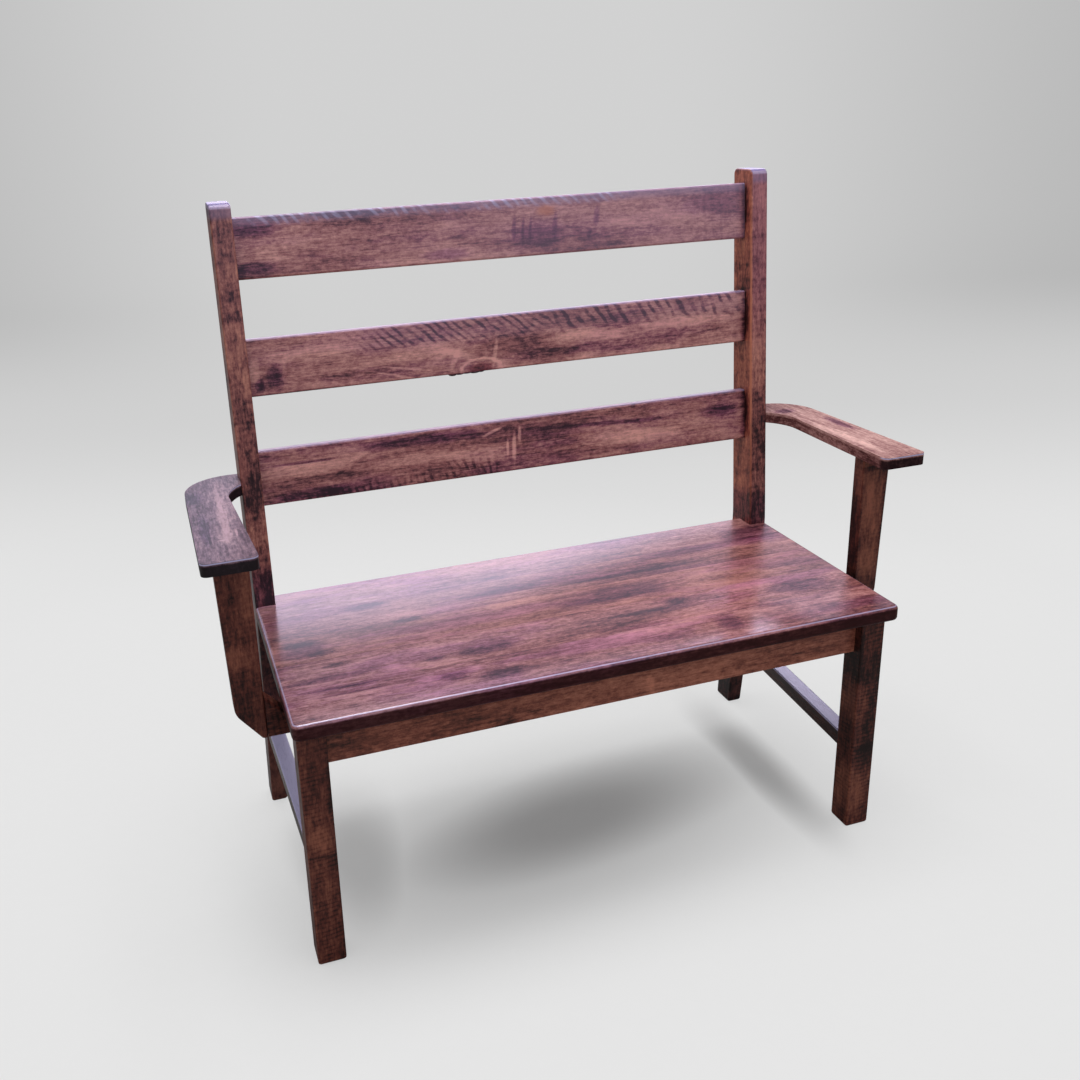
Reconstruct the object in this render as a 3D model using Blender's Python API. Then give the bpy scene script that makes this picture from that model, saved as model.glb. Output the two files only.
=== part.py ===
"""Hall bench: a stained hardwood settle with a three-slat back and shaped arms.

Metres, +Z up, front towards -Y. The origin is on the floor under the middle of the bench.
Paired pieces are modelled on the right (+X) and mirrored for the left.
"""
import math

import bmesh
import bpy
from mathutils import Matrix, Vector

# Clearances and shared joinery
FIT = 0.0003
TENON_THICKNESS = 0.010
TENON_LENGTH = 0.020
TENON_SHOULDER = 0.008
MORTISE_WALL = 0.0025
EDGE_ROUND = 0.003
ROUND_STEPS = 3
MORTISE_MOUTH = 0.010

# Seat
SEAT_TOP = 0.457
SEAT_WIDTH = 1.046
SEAT_DEPTH = 0.457
SEAT_THICKNESS = 0.028
SEAT_BOARDS = 5
SEAT_EDGE_ROUND = 0.007
SEAT_CORNER_ROUND = 0.012

# Front legs
LEG_SIZE = 0.046
LEG_SIDE_INSET = 0.007
LEG_FRONT_INSET = 0.027
FOOT_EASE = 0.006

# Back posts
POST_NOTCH = 0.040
POST_WIDTH = 0.036
POST_SIDE_INSET = 0.001
POST_KNEE_DEPTH = 0.069
POST_TOP_DEPTH = 0.062
POST_TOP_RAKE = 0.055
POST_TOP_ROUND = 0.011
POST_TOP_SIDE_EASE = 0.003
BACK_RISE = 0.703
KNEE_SOFTNESS = 0.012
FOOT_RAKE = 0.070
FOOT_DEPTH = 0.050
FOOT_WIDTH = 0.030
FOOT_SPLAY = 0.004

# Back slats
SLAT_THICKNESS = 0.020
SLAT_SETBACK = 0.0215
SLAT_RISE = 0.177
SLAT_HEIGHT = 0.100
LOWER_SLAT_GAP = 0.0965
UPPER_SLAT_GAP = 0.1005
TOP_SLAT_HEIGHT = 0.104
SLAT_EDGE_ROUND = 0.004

# Aprons and side stretchers
APRON_HEIGHT = 0.072
APRON_THICKNESS = 0.020
APRON_EDGE_ROUND = 0.002
FRONT_APRON_SETBACK = 0.018
SIDE_APRON_SETBACK = 0.008
REAR_APRON_INSET = 0.001
STRETCHER_TOP = 0.173
STRETCHER_RISE = 0.016
STRETCHER_WIDTH = 0.028
STRETCHER_HEIGHT = 0.030
STRETCHER_TENON_WIDTH = 0.012
STRETCHER_TENON_HEIGHT = 0.018

# Arms
ARM_RISE = 0.237
ARM_THICKNESS = 0.021
ARM_SLOPE = 0.018
ARM_REACH = 0.096
ARM_FRONT_SETBACK = 0.086
ARM_FRONT_WIDTH = 0.085
ARM_REAR_WIDTH = 0.068
ARM_END_WIDTH = 0.062
ARM_OUTER_RADIUS = 0.084
ARM_INNER_RADIUS = 0.080
ARM_CORNER_ROUND = 0.011
ARM_EDGE_ROUND = 0.006
ARM_ARC_STEPS = 10
DOWEL_RADIUS = 0.004
DOWEL_SPACING = 0.034
DOWEL_IN_POST = 0.020
DOWEL_IN_ARM = 0.028
DOWEL_CHAMFER = 0.001

# Arm supports and their spacer blocks
SUPPORT_SETBACK = 0.154
SUPPORT_DEPTH = 0.028
SUPPORT_GAP = 0.022
SUPPORT_TOP_WIDTH = 0.055
SUPPORT_LOW_WIDTH = 0.047
SUPPORT_DROP = 0.104
SUPPORT_TOE = 0.008
SUPPORT_CUT_HEIGHT = 0.050
SUPPORT_CUT_ROUND = 0.030
SUPPORT_TENON_WIDTH = 0.030
SUPPORT_TENON_DEPTH = 0.014
SUPPORT_TENON_LENGTH = 0.012
SPACER_HEIGHT = 0.072
SPACER_LOW_HEIGHT = 0.035
SPACER_EDGE_ROUND = 0.004

# Corner blocks and screws
CORNER_BLOCK_SIZE = 0.060
CORNER_BLOCK_BLUNT = 0.012
CORNER_BLOCK_HEIGHT = 0.040
CORNER_SCREW_INSET = 0.027
SCREW_RADIUS = 0.0025
SCREW_HEAD_RADIUS = 0.005
SCREW_HEAD_HEIGHT = 0.003
SCREW_POINT = 0.006
SEAT_SCREW_BITE = 0.016
SUPPORT_SCREW_BITE = 0.012
SUPPORT_SCREW_HEIGHTS = (0.012, 0.026)
ROUND_SIDES = 12

# Levels and faces that the pieces share
SEAT_UNDER = SEAT_TOP - SEAT_THICKNESS
FRAME_TOP = SEAT_UNDER - FIT
HALF_SEAT = SEAT_WIDTH / 2
SEAT_FRONT = -(SEAT_DEPTH - POST_NOTCH + FOOT_RAKE + FOOT_DEPTH) / 2
SEAT_REAR = SEAT_FRONT + SEAT_DEPTH
KNEE_FRONT = SEAT_REAR - POST_NOTCH
POST_TOP = SEAT_TOP + BACK_RISE
POST_OUT = HALF_SEAT - POST_SIDE_INSET
POST_IN = POST_OUT - POST_WIDTH
LEG_OUT = HALF_SEAT - LEG_SIDE_INSET
LEG_IN = LEG_OUT - LEG_SIZE
LEG_MID = LEG_OUT - LEG_SIZE / 2
LEG_FRONT = SEAT_FRONT + LEG_FRONT_INSET
LEG_BACK = LEG_FRONT + LEG_SIZE
APRON_MID = FRAME_TOP - APRON_HEIGHT / 2
APRON_BOTTOM = FRAME_TOP - APRON_HEIGHT
APRON_TENON_HEIGHT = APRON_HEIGHT - 2 * TENON_SHOULDER
FRONT_APRON_Y = LEG_FRONT + FRONT_APRON_SETBACK + APRON_THICKNESS / 2
SIDE_APRON_X = LEG_OUT - SIDE_APRON_SETBACK - APRON_THICKNESS / 2
REAR_APRON_Y = SEAT_REAR - REAR_APRON_INSET - APRON_THICKNESS / 2
STRETCHER_MID = STRETCHER_TOP - STRETCHER_HEIGHT / 2
ARM_FRONT = SEAT_FRONT + ARM_FRONT_SETBACK
ARM_OUT = HALF_SEAT + ARM_REACH
SUPPORT_FRONT = SEAT_FRONT + SUPPORT_SETBACK
SUPPORT_MID_Y = SUPPORT_FRONT + SUPPORT_DEPTH / 2
SUPPORT_IN = HALF_SEAT + SUPPORT_GAP
SUPPORT_BOTTOM = SEAT_TOP - SUPPORT_DROP
MORTISE_BACKSTOP = MORTISE_WALL + 2 * FIT

SIDES = (("left", -1), ("right", 1))


# The bent outline of the back posts, seen from the side
def bend(rise, slope_above, slope_below):
    """Offset of a line that turns softly from one slope to the other at the seat's level."""
    lean = (slope_above - slope_below) / 2
    spread = (slope_above + slope_below) / 2
    return lean * rise + spread * math.hypot(rise, KNEE_SOFTNESS)


def post_front(z):
    return KNEE_FRONT + bend(z - SEAT_TOP, POST_TOP_RAKE / BACK_RISE, FOOT_RAKE / SEAT_TOP)


def post_back(z):
    above = (POST_TOP_RAKE + POST_TOP_DEPTH - POST_KNEE_DEPTH) / BACK_RISE
    below = (FOOT_RAKE + FOOT_DEPTH - POST_KNEE_DEPTH) / SEAT_TOP
    return KNEE_FRONT + POST_KNEE_DEPTH + bend(z - SEAT_TOP, above, below)


def post_sides(z):
    """Inner and outer face of the right post: the leg tapers and splays below the aprons."""
    share = max(0.0, (APRON_BOTTOM - z) / APRON_BOTTOM)
    outer = POST_OUT + FOOT_SPLAY * share
    return outer - POST_WIDTH + (POST_WIDTH - FOOT_WIDTH) * share, outer


def arm_top(y):
    return SEAT_TOP + ARM_RISE - ARM_SLOPE * (y - ARM_FRONT)


def arm_under(y):
    return arm_top(y) - ARM_THICKNESS


# Outlines
def rectangle(width, height):
    x = width / 2
    y = height / 2
    return [(-x, -y), (x, -y), (x, y), (-x, y)]


def rounded_rectangle(width, height, radius):
    points = []
    for index, (x, y) in enumerate(rectangle(width - 2 * radius, height - 2 * radius)):
        for step in range(ROUND_STEPS + 1):
            angle = math.pi * (1 + index / 2 + step / ROUND_STEPS / 2)
            points.append((x + radius * math.cos(angle), y + radius * math.sin(angle)))
    return points


def circle(radius):
    turn = 2 * math.pi / ROUND_SIDES
    return [(radius * math.cos(turn * i), radius * math.sin(turn * i)) for i in range(ROUND_SIDES)]


def arc(centre, radius, start, end, steps):
    angles = [start + (end - start) * i / steps for i in range(steps + 1)]
    return [(centre[0] + radius * math.cos(a), centre[1] + radius * math.sin(a)) for a in angles]


def rounded_corner(before, corner, after, radius):
    """Arc that rounds a corner between two straight stretches."""
    corner = Vector(corner)
    inward = (Vector(before) - corner).normalized()
    outward = (Vector(after) - corner).normalized()
    half_angle = inward.angle(outward) / 2
    centre = corner + (inward + outward).normalized() * radius / math.sin(half_angle)
    first = corner + inward * radius / math.tan(half_angle) - centre
    last = corner + outward * radius / math.tan(half_angle) - centre
    start = math.atan2(first.y, first.x)
    turn = first.angle_signed(last)
    return arc(centre, radius, start, start - turn, ROUND_STEPS + 1)


# Solids
def loft(bm, sections):
    """Close a skin over a row of sections that have the same number of points."""
    rings = [[bm.verts.new(point) for point in section] for section in sections]
    for low, high in zip(rings, rings[1:]):
        for i in range(len(low)):
            bm.faces.new((low[i - 1], low[i], high[i], high[i - 1]))
    bm.faces.new(rings[0])
    bm.faces.new(rings[-1])


def box(bm, low, high):
    size = Vector(high) - Vector(low)
    middle = (Vector(high) + Vector(low)) / 2
    bmesh.ops.create_cube(bm, size=1, matrix=Matrix.Translation(middle) @ Matrix.Diagonal(size).to_4x4())


def turned(bm, matrix, profile):
    """Round body along the matrix's Z axis from (radius, height) steps."""
    loft(bm, [[matrix @ Vector((x, y, height)) for x, y in circle(radius)] for radius, height in profile])


def plate(bm, outline, low, high):
    loft(bm, [[Vector((x, y, z)) for x, y in outline] for z in (low, high)])


def round_rims(bm, radius, kept_sharp):
    """Round the upper and lower rim of a plate, but not where kept_sharp says."""
    rims = []
    for edge in bm.edges:
        level = abs(edge.verts[0].co.z - edge.verts[1].co.z) < FIT
        if level and not all(kept_sharp(vert.co) for vert in edge.verts):
            rims.append(edge)
    bmesh.ops.bevel(
        bm, geom=rims, offset=radius, offset_type="OFFSET", affect="EDGES",
        segments=ROUND_STEPS - 1, profile=0.5, material=-1)


def timber(name, colour, roughness):
    material = bpy.data.materials.new(name)
    material.use_nodes = True
    shader = material.node_tree.nodes["Principled BSDF"]
    shader.inputs["Base Color"].default_value = (*colour, 1.0)
    shader.inputs["Roughness"].default_value = roughness
    shader.inputs["Metallic"].default_value = 0.0
    return material


def steel(name):
    material = timber(name, (0.52, 0.50, 0.46), 0.38)
    material.node_tree.nodes["Principled BSDF"].inputs["Metallic"].default_value = 1.0
    return material


def add_mesh(name, bm, side):
    bmesh.ops.scale(bm, vec=(side, 1, 1), verts=bm.verts)
    bmesh.ops.recalc_face_normals(bm, faces=bm.faces)
    mesh = bpy.data.meshes.new(name)
    bm.to_mesh(mesh)
    bm.free()
    mesh.shade_smooth()
    mesh.set_sharp_from_angle(angle=math.radians(35))
    obj = bpy.data.objects.new(name, mesh)
    bpy.context.scene.collection.objects.link(obj)
    return obj


def add_piece(name, bm, material, bench, side=1):
    piece = add_mesh(name, bm, side)
    piece.data.materials.append(material)
    piece.parent = bench
    return piece


def cut(piece, bm, side=1):
    cutter = add_mesh(piece.name + "_cutter", bm, side)
    cutter.hide_render = True
    cutter.display_type = "WIRE"
    cutter.parent = piece.parent
    hollow = piece.modifiers.new("mortises", "BOOLEAN")
    hollow.operation = "DIFFERENCE"
    hollow.solver = "EXACT"
    hollow.object = cutter


# Rails that run across the bench: slats, front apron and rear apron
class CrossRail:
    def __init__(self, place, reach, thickness, height, edge, tenon_height, tip):
        self.place = place
        self.reach = reach
        self.thickness = thickness
        self.height = height
        self.edge = edge
        self.tenon_height = tenon_height
        self.tip = tip

    def section(self, x, outline):
        return [self.place @ Vector((x, across, up)) for across, up in outline]

    def solid(self, bm):
        body = rounded_rectangle(self.thickness, self.height, self.edge)
        tenon = rounded_rectangle(TENON_THICKNESS, self.tenon_height, APRON_EDGE_ROUND)
        shoulder = self.reach - FIT
        stations = ((-self.tip, tenon), (-shoulder, tenon), (-shoulder, body))
        mirrored = tuple((-x, outline) for x, outline in reversed(stations))
        loft(bm, [self.section(x, outline) for x, outline in stations + mirrored])

    def mortise(self, bm):
        mouth = rectangle(TENON_THICKNESS + 2 * FIT, self.tenon_height + 2 * FIT)
        loft(bm, [self.section(x, mouth) for x in (self.reach - MORTISE_MOUTH, self.tip + FIT)])


def slat_place(middle):
    """Frame of a slat: its own thickness lies square to the raked front of the posts."""
    rake = math.atan2(POST_TOP_RAKE, BACK_RISE)
    front = post_front(middle) + SLAT_SETBACK / math.cos(rake)
    inward = Matrix.Translation((0, SLAT_THICKNESS / 2, 0))
    return Matrix.Translation((0, front, middle)) @ Matrix.Rotation(-rake, 4, "X") @ inward


def slats():
    lower = SEAT_TOP + SLAT_RISE
    middle = lower + SLAT_HEIGHT + LOWER_SLAT_GAP
    upper = middle + SLAT_HEIGHT + UPPER_SLAT_GAP
    heights = (("lower_slat", lower, SLAT_HEIGHT), ("middle_slat", middle, SLAT_HEIGHT),
               ("top_slat", upper, TOP_SLAT_HEIGHT))
    rails = {}
    for name, bottom, height in heights:
        rails[name] = CrossRail(
            slat_place(bottom + height / 2), POST_IN, SLAT_THICKNESS, height, SLAT_EDGE_ROUND,
            height - 2 * TENON_SHOULDER, POST_IN + TENON_LENGTH)
    return rails


def front_apron():
    tip = SIDE_APRON_X - TENON_THICKNESS / 2 - MORTISE_BACKSTOP
    place = Matrix.Translation((0, FRONT_APRON_Y, APRON_MID))
    return CrossRail(place, LEG_IN, APRON_THICKNESS, APRON_HEIGHT, APRON_EDGE_ROUND, APRON_TENON_HEIGHT, tip)


def rear_apron():
    place = Matrix.Translation((0, REAR_APRON_Y, APRON_MID))
    tip = POST_IN + TENON_LENGTH
    return CrossRail(place, POST_IN, APRON_THICKNESS, APRON_HEIGHT, APRON_EDGE_ROUND, APRON_TENON_HEIGHT, tip)


# Rails that run from a front leg to a back post: side aprons and stretchers
class SideRail:
    def __init__(self, front_x, rear_x, middle, rise, body, tenon, rear_tip):
        length = post_front(middle) - LEG_BACK
        self.front_x = front_x
        self.slant = (rear_x - front_x) / length
        self.climb = rise / length
        self.middle = middle
        self.body = body
        self.tenon = tenon
        self.front_tip = LEG_BACK - TENON_LENGTH
        self.rear_tip = rear_tip

    def section(self, outline, depth):
        """Points of an outline, at a depth that may depend on the height, on the rail's own line."""
        points = []
        for across, up in outline:
            level = self.middle + up
            z = level + self.climb * (depth(level) - LEG_BACK)
            y = depth(z)
            points.append(Vector((self.front_x + self.slant * (y - LEG_BACK) + across, y, z)))
        return points

    def front_shoulder(self, z):
        return LEG_BACK + FIT

    def rear_shoulder(self, z):
        return post_front(z) - FIT

    def solid(self, bm):
        body = rounded_rectangle(*self.body, APRON_EDGE_ROUND)
        tenon = rounded_rectangle(*self.tenon, APRON_EDGE_ROUND)
        loft(bm, [
            self.section(tenon, lambda z: self.front_tip),
            self.section(tenon, self.front_shoulder),
            self.section(body, self.front_shoulder),
            self.section(body, self.rear_shoulder),
            self.section(tenon, self.rear_shoulder),
            self.section(tenon, lambda z: self.rear_tip),
        ])

    def mouth(self, bm, mouth, bottom):
        outline = rectangle(self.tenon[0] + 2 * FIT, self.tenon[1] + 2 * FIT)
        loft(bm, [self.section(outline, lambda z: mouth), self.section(outline, lambda z: bottom)])

    def leg_mortise(self, bm):
        self.mouth(bm, LEG_BACK + MORTISE_MOUTH, self.front_tip - FIT)

    def post_mortise(self, bm):
        nearest = min(point.y for point in self.section(rectangle(*self.tenon), self.rear_shoulder))
        self.mouth(bm, nearest - MORTISE_MOUTH, self.rear_tip + FIT)


def side_apron():
    rear_tip = REAR_APRON_Y - TENON_THICKNESS / 2 - MORTISE_BACKSTOP
    body = (APRON_THICKNESS, APRON_HEIGHT)
    tenon = (TENON_THICKNESS, APRON_TENON_HEIGHT)
    return SideRail(SIDE_APRON_X, SIDE_APRON_X, APRON_MID, 0.0, body, tenon, rear_tip)


def side_stretcher():
    rear_middle = STRETCHER_MID + STRETCHER_RISE
    rear_x = sum(post_sides(rear_middle)) / 2
    body = (STRETCHER_WIDTH, STRETCHER_HEIGHT)
    tenon = (STRETCHER_TENON_WIDTH, STRETCHER_TENON_HEIGHT)
    rear_tip = post_front(rear_middle) + TENON_LENGTH
    return SideRail(LEG_MID, rear_x, STRETCHER_MID, STRETCHER_RISE, body, tenon, rear_tip)


# Round fasteners
def support_screw_places():
    """Screws that run outwards through side apron and spacer block into the arm support."""
    face = SIDE_APRON_X - APRON_THICKNESS / 2
    turn = Matrix.Rotation(math.pi / 2, 4, "Y")
    levels = [SUPPORT_BOTTOM + height for height in SUPPORT_SCREW_HEIGHTS]
    return [Matrix.Translation((face, SUPPORT_MID_Y, z)) @ turn for z in levels]


def corner_screw_place(corner):
    """Screw that runs up through a corner block into the seat."""
    return Matrix.Translation((corner.screw.x, corner.screw.y, FRAME_TOP - CORNER_BLOCK_HEIGHT))


def screw(bm, length):
    turned(bm, Matrix.Identity(4), (
        (SCREW_HEAD_RADIUS - SCREW_HEAD_HEIGHT / 2, -FIT - SCREW_HEAD_HEIGHT),
        (SCREW_HEAD_RADIUS, -FIT - SCREW_HEAD_HEIGHT / 2),
        (SCREW_HEAD_RADIUS, -FIT),
        (SCREW_RADIUS, -FIT),
        (SCREW_RADIUS, length - SCREW_POINT),
        (SCREW_RADIUS / 5, length),
    ))


def screw_hole(bm, place, start, end):
    turned(bm, place, ((SCREW_RADIUS + FIT, start), (SCREW_RADIUS + FIT, end)))


def dowel_places():
    """Pegs that hold an arm's rear end to the outer face of its post."""
    inner, outer = arm_end()
    turn = Matrix.Rotation(math.pi / 2, 4, "Y")
    places = []
    for offset in (-DOWEL_SPACING / 2, DOWEL_SPACING / 2):
        y = (inner + outer) / 2 + offset
        places.append(Matrix.Translation((POST_OUT, y, arm_top(y) - ARM_THICKNESS / 2)) @ turn)
    return places


def dowel(bm):
    turned(bm, Matrix.Identity(4), (
        (DOWEL_RADIUS - DOWEL_CHAMFER, -DOWEL_IN_POST),
        (DOWEL_RADIUS, DOWEL_CHAMFER - DOWEL_IN_POST),
        (DOWEL_RADIUS, DOWEL_IN_ARM - DOWEL_CHAMFER),
        (DOWEL_RADIUS - DOWEL_CHAMFER, DOWEL_IN_ARM),
    ))


def dowel_hole(bm, place, start, end):
    turned(bm, place, ((DOWEL_RADIUS + FIT, start), (DOWEL_RADIUS + FIT, end)))


# Corner blocks
class Corner:
    """Blunt triangle that fills the inside corner of two aprons; depth is +1 at the front, -1 at the rear."""

    def __init__(self, wall_y, depth):
        self.wall_x = SIDE_APRON_X - APRON_THICKNESS / 2 - FIT
        self.wall_y = wall_y + depth * FIT
        self.depth = depth
        self.screw = self.point(CORNER_SCREW_INSET, CORNER_SCREW_INSET)

    def point(self, across, along):
        return Vector((self.wall_x - across, self.wall_y + self.depth * along))

    def solid(self, bm):
        size = CORNER_BLOCK_SIZE
        blunt = CORNER_BLOCK_BLUNT
        outline = [self.point(*p) for p in ((0, 0), (size, 0), (size, blunt), (blunt, size), (0, size))]
        plate(bm, outline, FRAME_TOP - CORNER_BLOCK_HEIGHT, FRAME_TOP)


def front_corner():
    return Corner(FRONT_APRON_Y + APRON_THICKNESS / 2, 1)


def rear_corner():
    return Corner(REAR_APRON_Y - APRON_THICKNESS / 2, -1)


# Seat
def seat_slab():
    """Whole seat outline with rounded front corners and a notch round each post."""
    notch_x = POST_IN - FIT
    notch_y = post_front(SEAT_TOP) - FIT
    front = Vector((HALF_SEAT, SEAT_FRONT))
    corner = rounded_corner((0, SEAT_FRONT), front, (HALF_SEAT, SEAT_REAR), SEAT_CORNER_ROUND)
    right = corner + [(HALF_SEAT, notch_y), (notch_x, notch_y), (notch_x, SEAT_REAR)]
    left = [(-x, y) for x, y in reversed(right)]
    bm = bmesh.new()
    plate(bm, right + left, SEAT_UNDER, SEAT_TOP)

    def in_notch(point):
        return abs(point.x) > notch_x - FIT and point.y > notch_y - FIT

    bmesh.ops.recalc_face_normals(bm, faces=bm.faces)
    round_rims(bm, SEAT_EDGE_ROUND, in_notch)
    return bm


def keep_slice(bm, low, high):
    """Keep what lies between two depths and close the cut faces."""
    for depth, outward in ((low, -1), (high, 1)):
        geometry = bm.verts[:] + bm.edges[:] + bm.faces[:]
        result = bmesh.ops.bisect_plane(
            bm, geom=geometry, plane_co=(0, depth, 0), plane_no=(0, outward, 0), clear_outer=True)
        rim = [item for item in result["geom_cut"] if isinstance(item, bmesh.types.BMEdge)]
        if rim:
            bmesh.ops.contextual_create(bm, geom=rim)


def add_seat(bench, finish):
    width = SEAT_DEPTH / SEAT_BOARDS
    for number in range(SEAT_BOARDS):
        low = SEAT_FRONT + number * width
        bm = seat_slab()
        keep_slice(
            bm,
            low + FIT / 2 if number else SEAT_FRONT - SEAT_DEPTH,
            low + width - FIT / 2 if number < SEAT_BOARDS - 1 else SEAT_REAR + SEAT_DEPTH)
        board = add_piece(f"seat_board_{number + 1}", bm, finish, bench)
        holes = bmesh.new()
        for corner in (front_corner(), rear_corner()):
            for _, side in SIDES:
                place = Matrix.Diagonal((side, 1, 1, 1)) @ corner_screw_place(corner)
                end = CORNER_BLOCK_HEIGHT + FIT + SEAT_SCREW_BITE + FIT
                screw_hole(holes, place, CORNER_BLOCK_HEIGHT - MORTISE_MOUTH, end)
        cut(board, holes)


# Legs and posts
def upright_section(x_low, x_high, y_low, y_high, z, inset):
    outline = rounded_rectangle(x_high - x_low - 2 * inset, y_high - y_low - 2 * inset, EDGE_ROUND)
    middle = Vector(((x_low + x_high) / 2, (y_low + y_high) / 2, z))
    return [middle + Vector((x, y, 0)) for x, y in outline]


def add_front_leg(bench, finish, label, side):
    bm = bmesh.new()
    stations = ((0.0, FOOT_EASE), (FOOT_EASE, 0.0), (FRAME_TOP, 0.0))
    loft(bm, [upright_section(LEG_IN, LEG_OUT, LEG_FRONT, LEG_BACK, z, inset) for z, inset in stations])
    leg = add_piece(f"front_leg_{label}", bm, finish, bench, side)
    mortises = bmesh.new()
    front_apron().mortise(mortises)
    side_apron().leg_mortise(mortises)
    side_stretcher().leg_mortise(mortises)
    cut(leg, mortises, side)


def post_section(z, inset):
    inner, outer = post_sides(z)
    return upright_section(inner, outer, post_front(z), post_back(z), z, inset)


def post_top_section(angle):
    """Section of the rounded top: it draws in at front and back as the arc climbs."""
    z = POST_TOP - POST_TOP_ROUND * (1 - math.sin(angle))
    draw = 1 - math.cos(angle)
    inner, outer = post_sides(z)
    side_ease = POST_TOP_SIDE_EASE * draw
    front = post_front(z) + POST_TOP_ROUND * draw
    back = post_back(z) - POST_TOP_ROUND * draw
    return upright_section(inner + side_ease, outer - side_ease, front, back, z, 0.0)


def add_back_post(bench, finish, label, side):
    knee = [SEAT_TOP + KNEE_SOFTNESS * step for step in (-5, -2.5, -1, 0, 1, 2.5, 5)]
    sections = [post_section(0.0, FOOT_EASE), post_section(FOOT_EASE, 0.0), post_section(APRON_BOTTOM, 0.0)]
    sections += [post_section(z, 0.0) for z in knee]
    top_steps = 2 * ROUND_STEPS
    sections += [post_top_section(math.pi / 2 * step / top_steps) for step in range(top_steps + 1)]
    bm = bmesh.new()
    loft(bm, sections)
    post = add_piece(f"back_post_{label}", bm, finish, bench, side)
    mortises = bmesh.new()
    for rail in (*slats().values(), rear_apron()):
        rail.mortise(mortises)
    side_apron().post_mortise(mortises)
    side_stretcher().post_mortise(mortises)
    for place in dowel_places():
        dowel_hole(mortises, place, -DOWEL_IN_POST - FIT, MORTISE_MOUTH)
    cut(post, mortises, side)


# Rails
def add_cross_rail(bench, finish, name, rail):
    bm = bmesh.new()
    rail.solid(bm)
    add_piece(name, bm, finish, bench)


def add_side_apron(bench, finish, label, side):
    bm = bmesh.new()
    side_apron().solid(bm)
    apron = add_piece(f"side_apron_{label}", bm, finish, bench, side)
    holes = bmesh.new()
    for place in support_screw_places():
        screw_hole(holes, place, -MORTISE_MOUTH, APRON_THICKNESS + MORTISE_MOUTH)
    cut(apron, holes, side)


def add_side_stretcher(bench, finish, label, side):
    bm = bmesh.new()
    side_stretcher().solid(bm)
    add_piece(f"side_stretcher_{label}", bm, finish, bench, side)


# Arms
def arm_end():
    """Depths between which an arm's rear end meets the outer face of its post."""
    inner = post_front(arm_top(SEAT_REAR))
    return inner, inner + ARM_END_WIDTH


def arm_outline():
    """Plan of the right arm: out from the post, round the bend, then forward and wider."""
    end_x = POST_OUT + FIT
    inner, outer = arm_end()
    outer_x = ARM_OUT - ARM_OUTER_RADIUS
    outer_rise = math.sqrt(ARM_OUTER_RADIUS ** 2 - (end_x - outer_x) ** 2)
    outer_turn = math.atan2(outer_rise, end_x - outer_x)
    outer_bend = arc((outer_x, outer - outer_rise), ARM_OUTER_RADIUS, 0.0, outer_turn, ARM_ARC_STEPS)
    waist = ARM_OUT - ARM_REAR_WIDTH
    inner_x = waist - ARM_INNER_RADIUS
    inner_rise = math.sqrt(ARM_INNER_RADIUS ** 2 - (end_x - inner_x) ** 2)
    inner_turn = math.atan2(inner_rise, end_x - inner_x)
    inner_bend = arc((inner_x, inner - inner_rise), ARM_INNER_RADIUS, inner_turn, 0.0, ARM_ARC_STEPS)
    front_in = (ARM_OUT - ARM_FRONT_WIDTH, ARM_FRONT)
    front_out = (ARM_OUT, ARM_FRONT)
    inner_corner = rounded_corner(inner_bend[-1], front_in, front_out, ARM_CORNER_ROUND)
    outer_corner = rounded_corner(front_in, front_out, outer_bend[0], ARM_CORNER_ROUND)
    return outer_bend + inner_bend + inner_corner + outer_corner


def support_tenon_section(z, clearance):
    middle_x = SUPPORT_IN + SUPPORT_TOP_WIDTH / 2
    width = SUPPORT_TENON_WIDTH + 2 * clearance
    depth = SUPPORT_TENON_DEPTH + 2 * clearance
    points = []
    for x, y in rounded_rectangle(width, depth, EDGE_ROUND):
        points.append(Vector((middle_x + x, SUPPORT_MID_Y + y, z(SUPPORT_MID_Y + y))))
    return points


def add_arm(bench, finish, label, side):
    bm = bmesh.new()
    plate(bm, arm_outline(), -ARM_THICKNESS, 0.0)

    def at_post(point):
        return point.x < POST_OUT + 2 * FIT

    bmesh.ops.recalc_face_normals(bm, faces=bm.faces)
    round_rims(bm, ARM_EDGE_ROUND, at_post)
    for vert in bm.verts:
        vert.co.z += arm_top(vert.co.y)
    arm = add_piece(f"arm_{label}", bm, finish, bench, side)
    hollows = bmesh.new()
    loft(hollows, [
        support_tenon_section(lambda y: arm_under(y) - MORTISE_MOUTH, FIT),
        support_tenon_section(lambda y: arm_under(y) + SUPPORT_TENON_LENGTH + FIT, FIT),
    ])
    for place in dowel_places():
        dowel_hole(hollows, place, -MORTISE_MOUTH, DOWEL_IN_ARM + FIT)
    cut(arm, hollows, side)


# Arm supports and spacer blocks
def support_outer_edge():
    """Outer edge of the right support: a slanted cut up from its toe, a rounded turn, then a slight flare."""
    toe = Vector((SUPPORT_IN + SUPPORT_TOE, SUPPORT_BOTTOM))
    shoulder = Vector((SUPPORT_IN + SUPPORT_LOW_WIDTH, SUPPORT_BOTTOM + SUPPORT_CUT_HEIGHT))
    top = Vector((SUPPORT_IN + SUPPORT_TOP_WIDTH, arm_under(SUPPORT_MID_Y)))
    return [tuple(toe)] + rounded_corner(toe, shoulder, top, SUPPORT_CUT_ROUND)


def support_section(outer, z):
    outline = rounded_rectangle(outer - SUPPORT_IN, SUPPORT_DEPTH, EDGE_ROUND)
    middle = (outer + SUPPORT_IN) / 2
    return [Vector((middle + x, SUPPORT_MID_Y + y, z(SUPPORT_MID_Y + y))) for x, y in outline]


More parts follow.
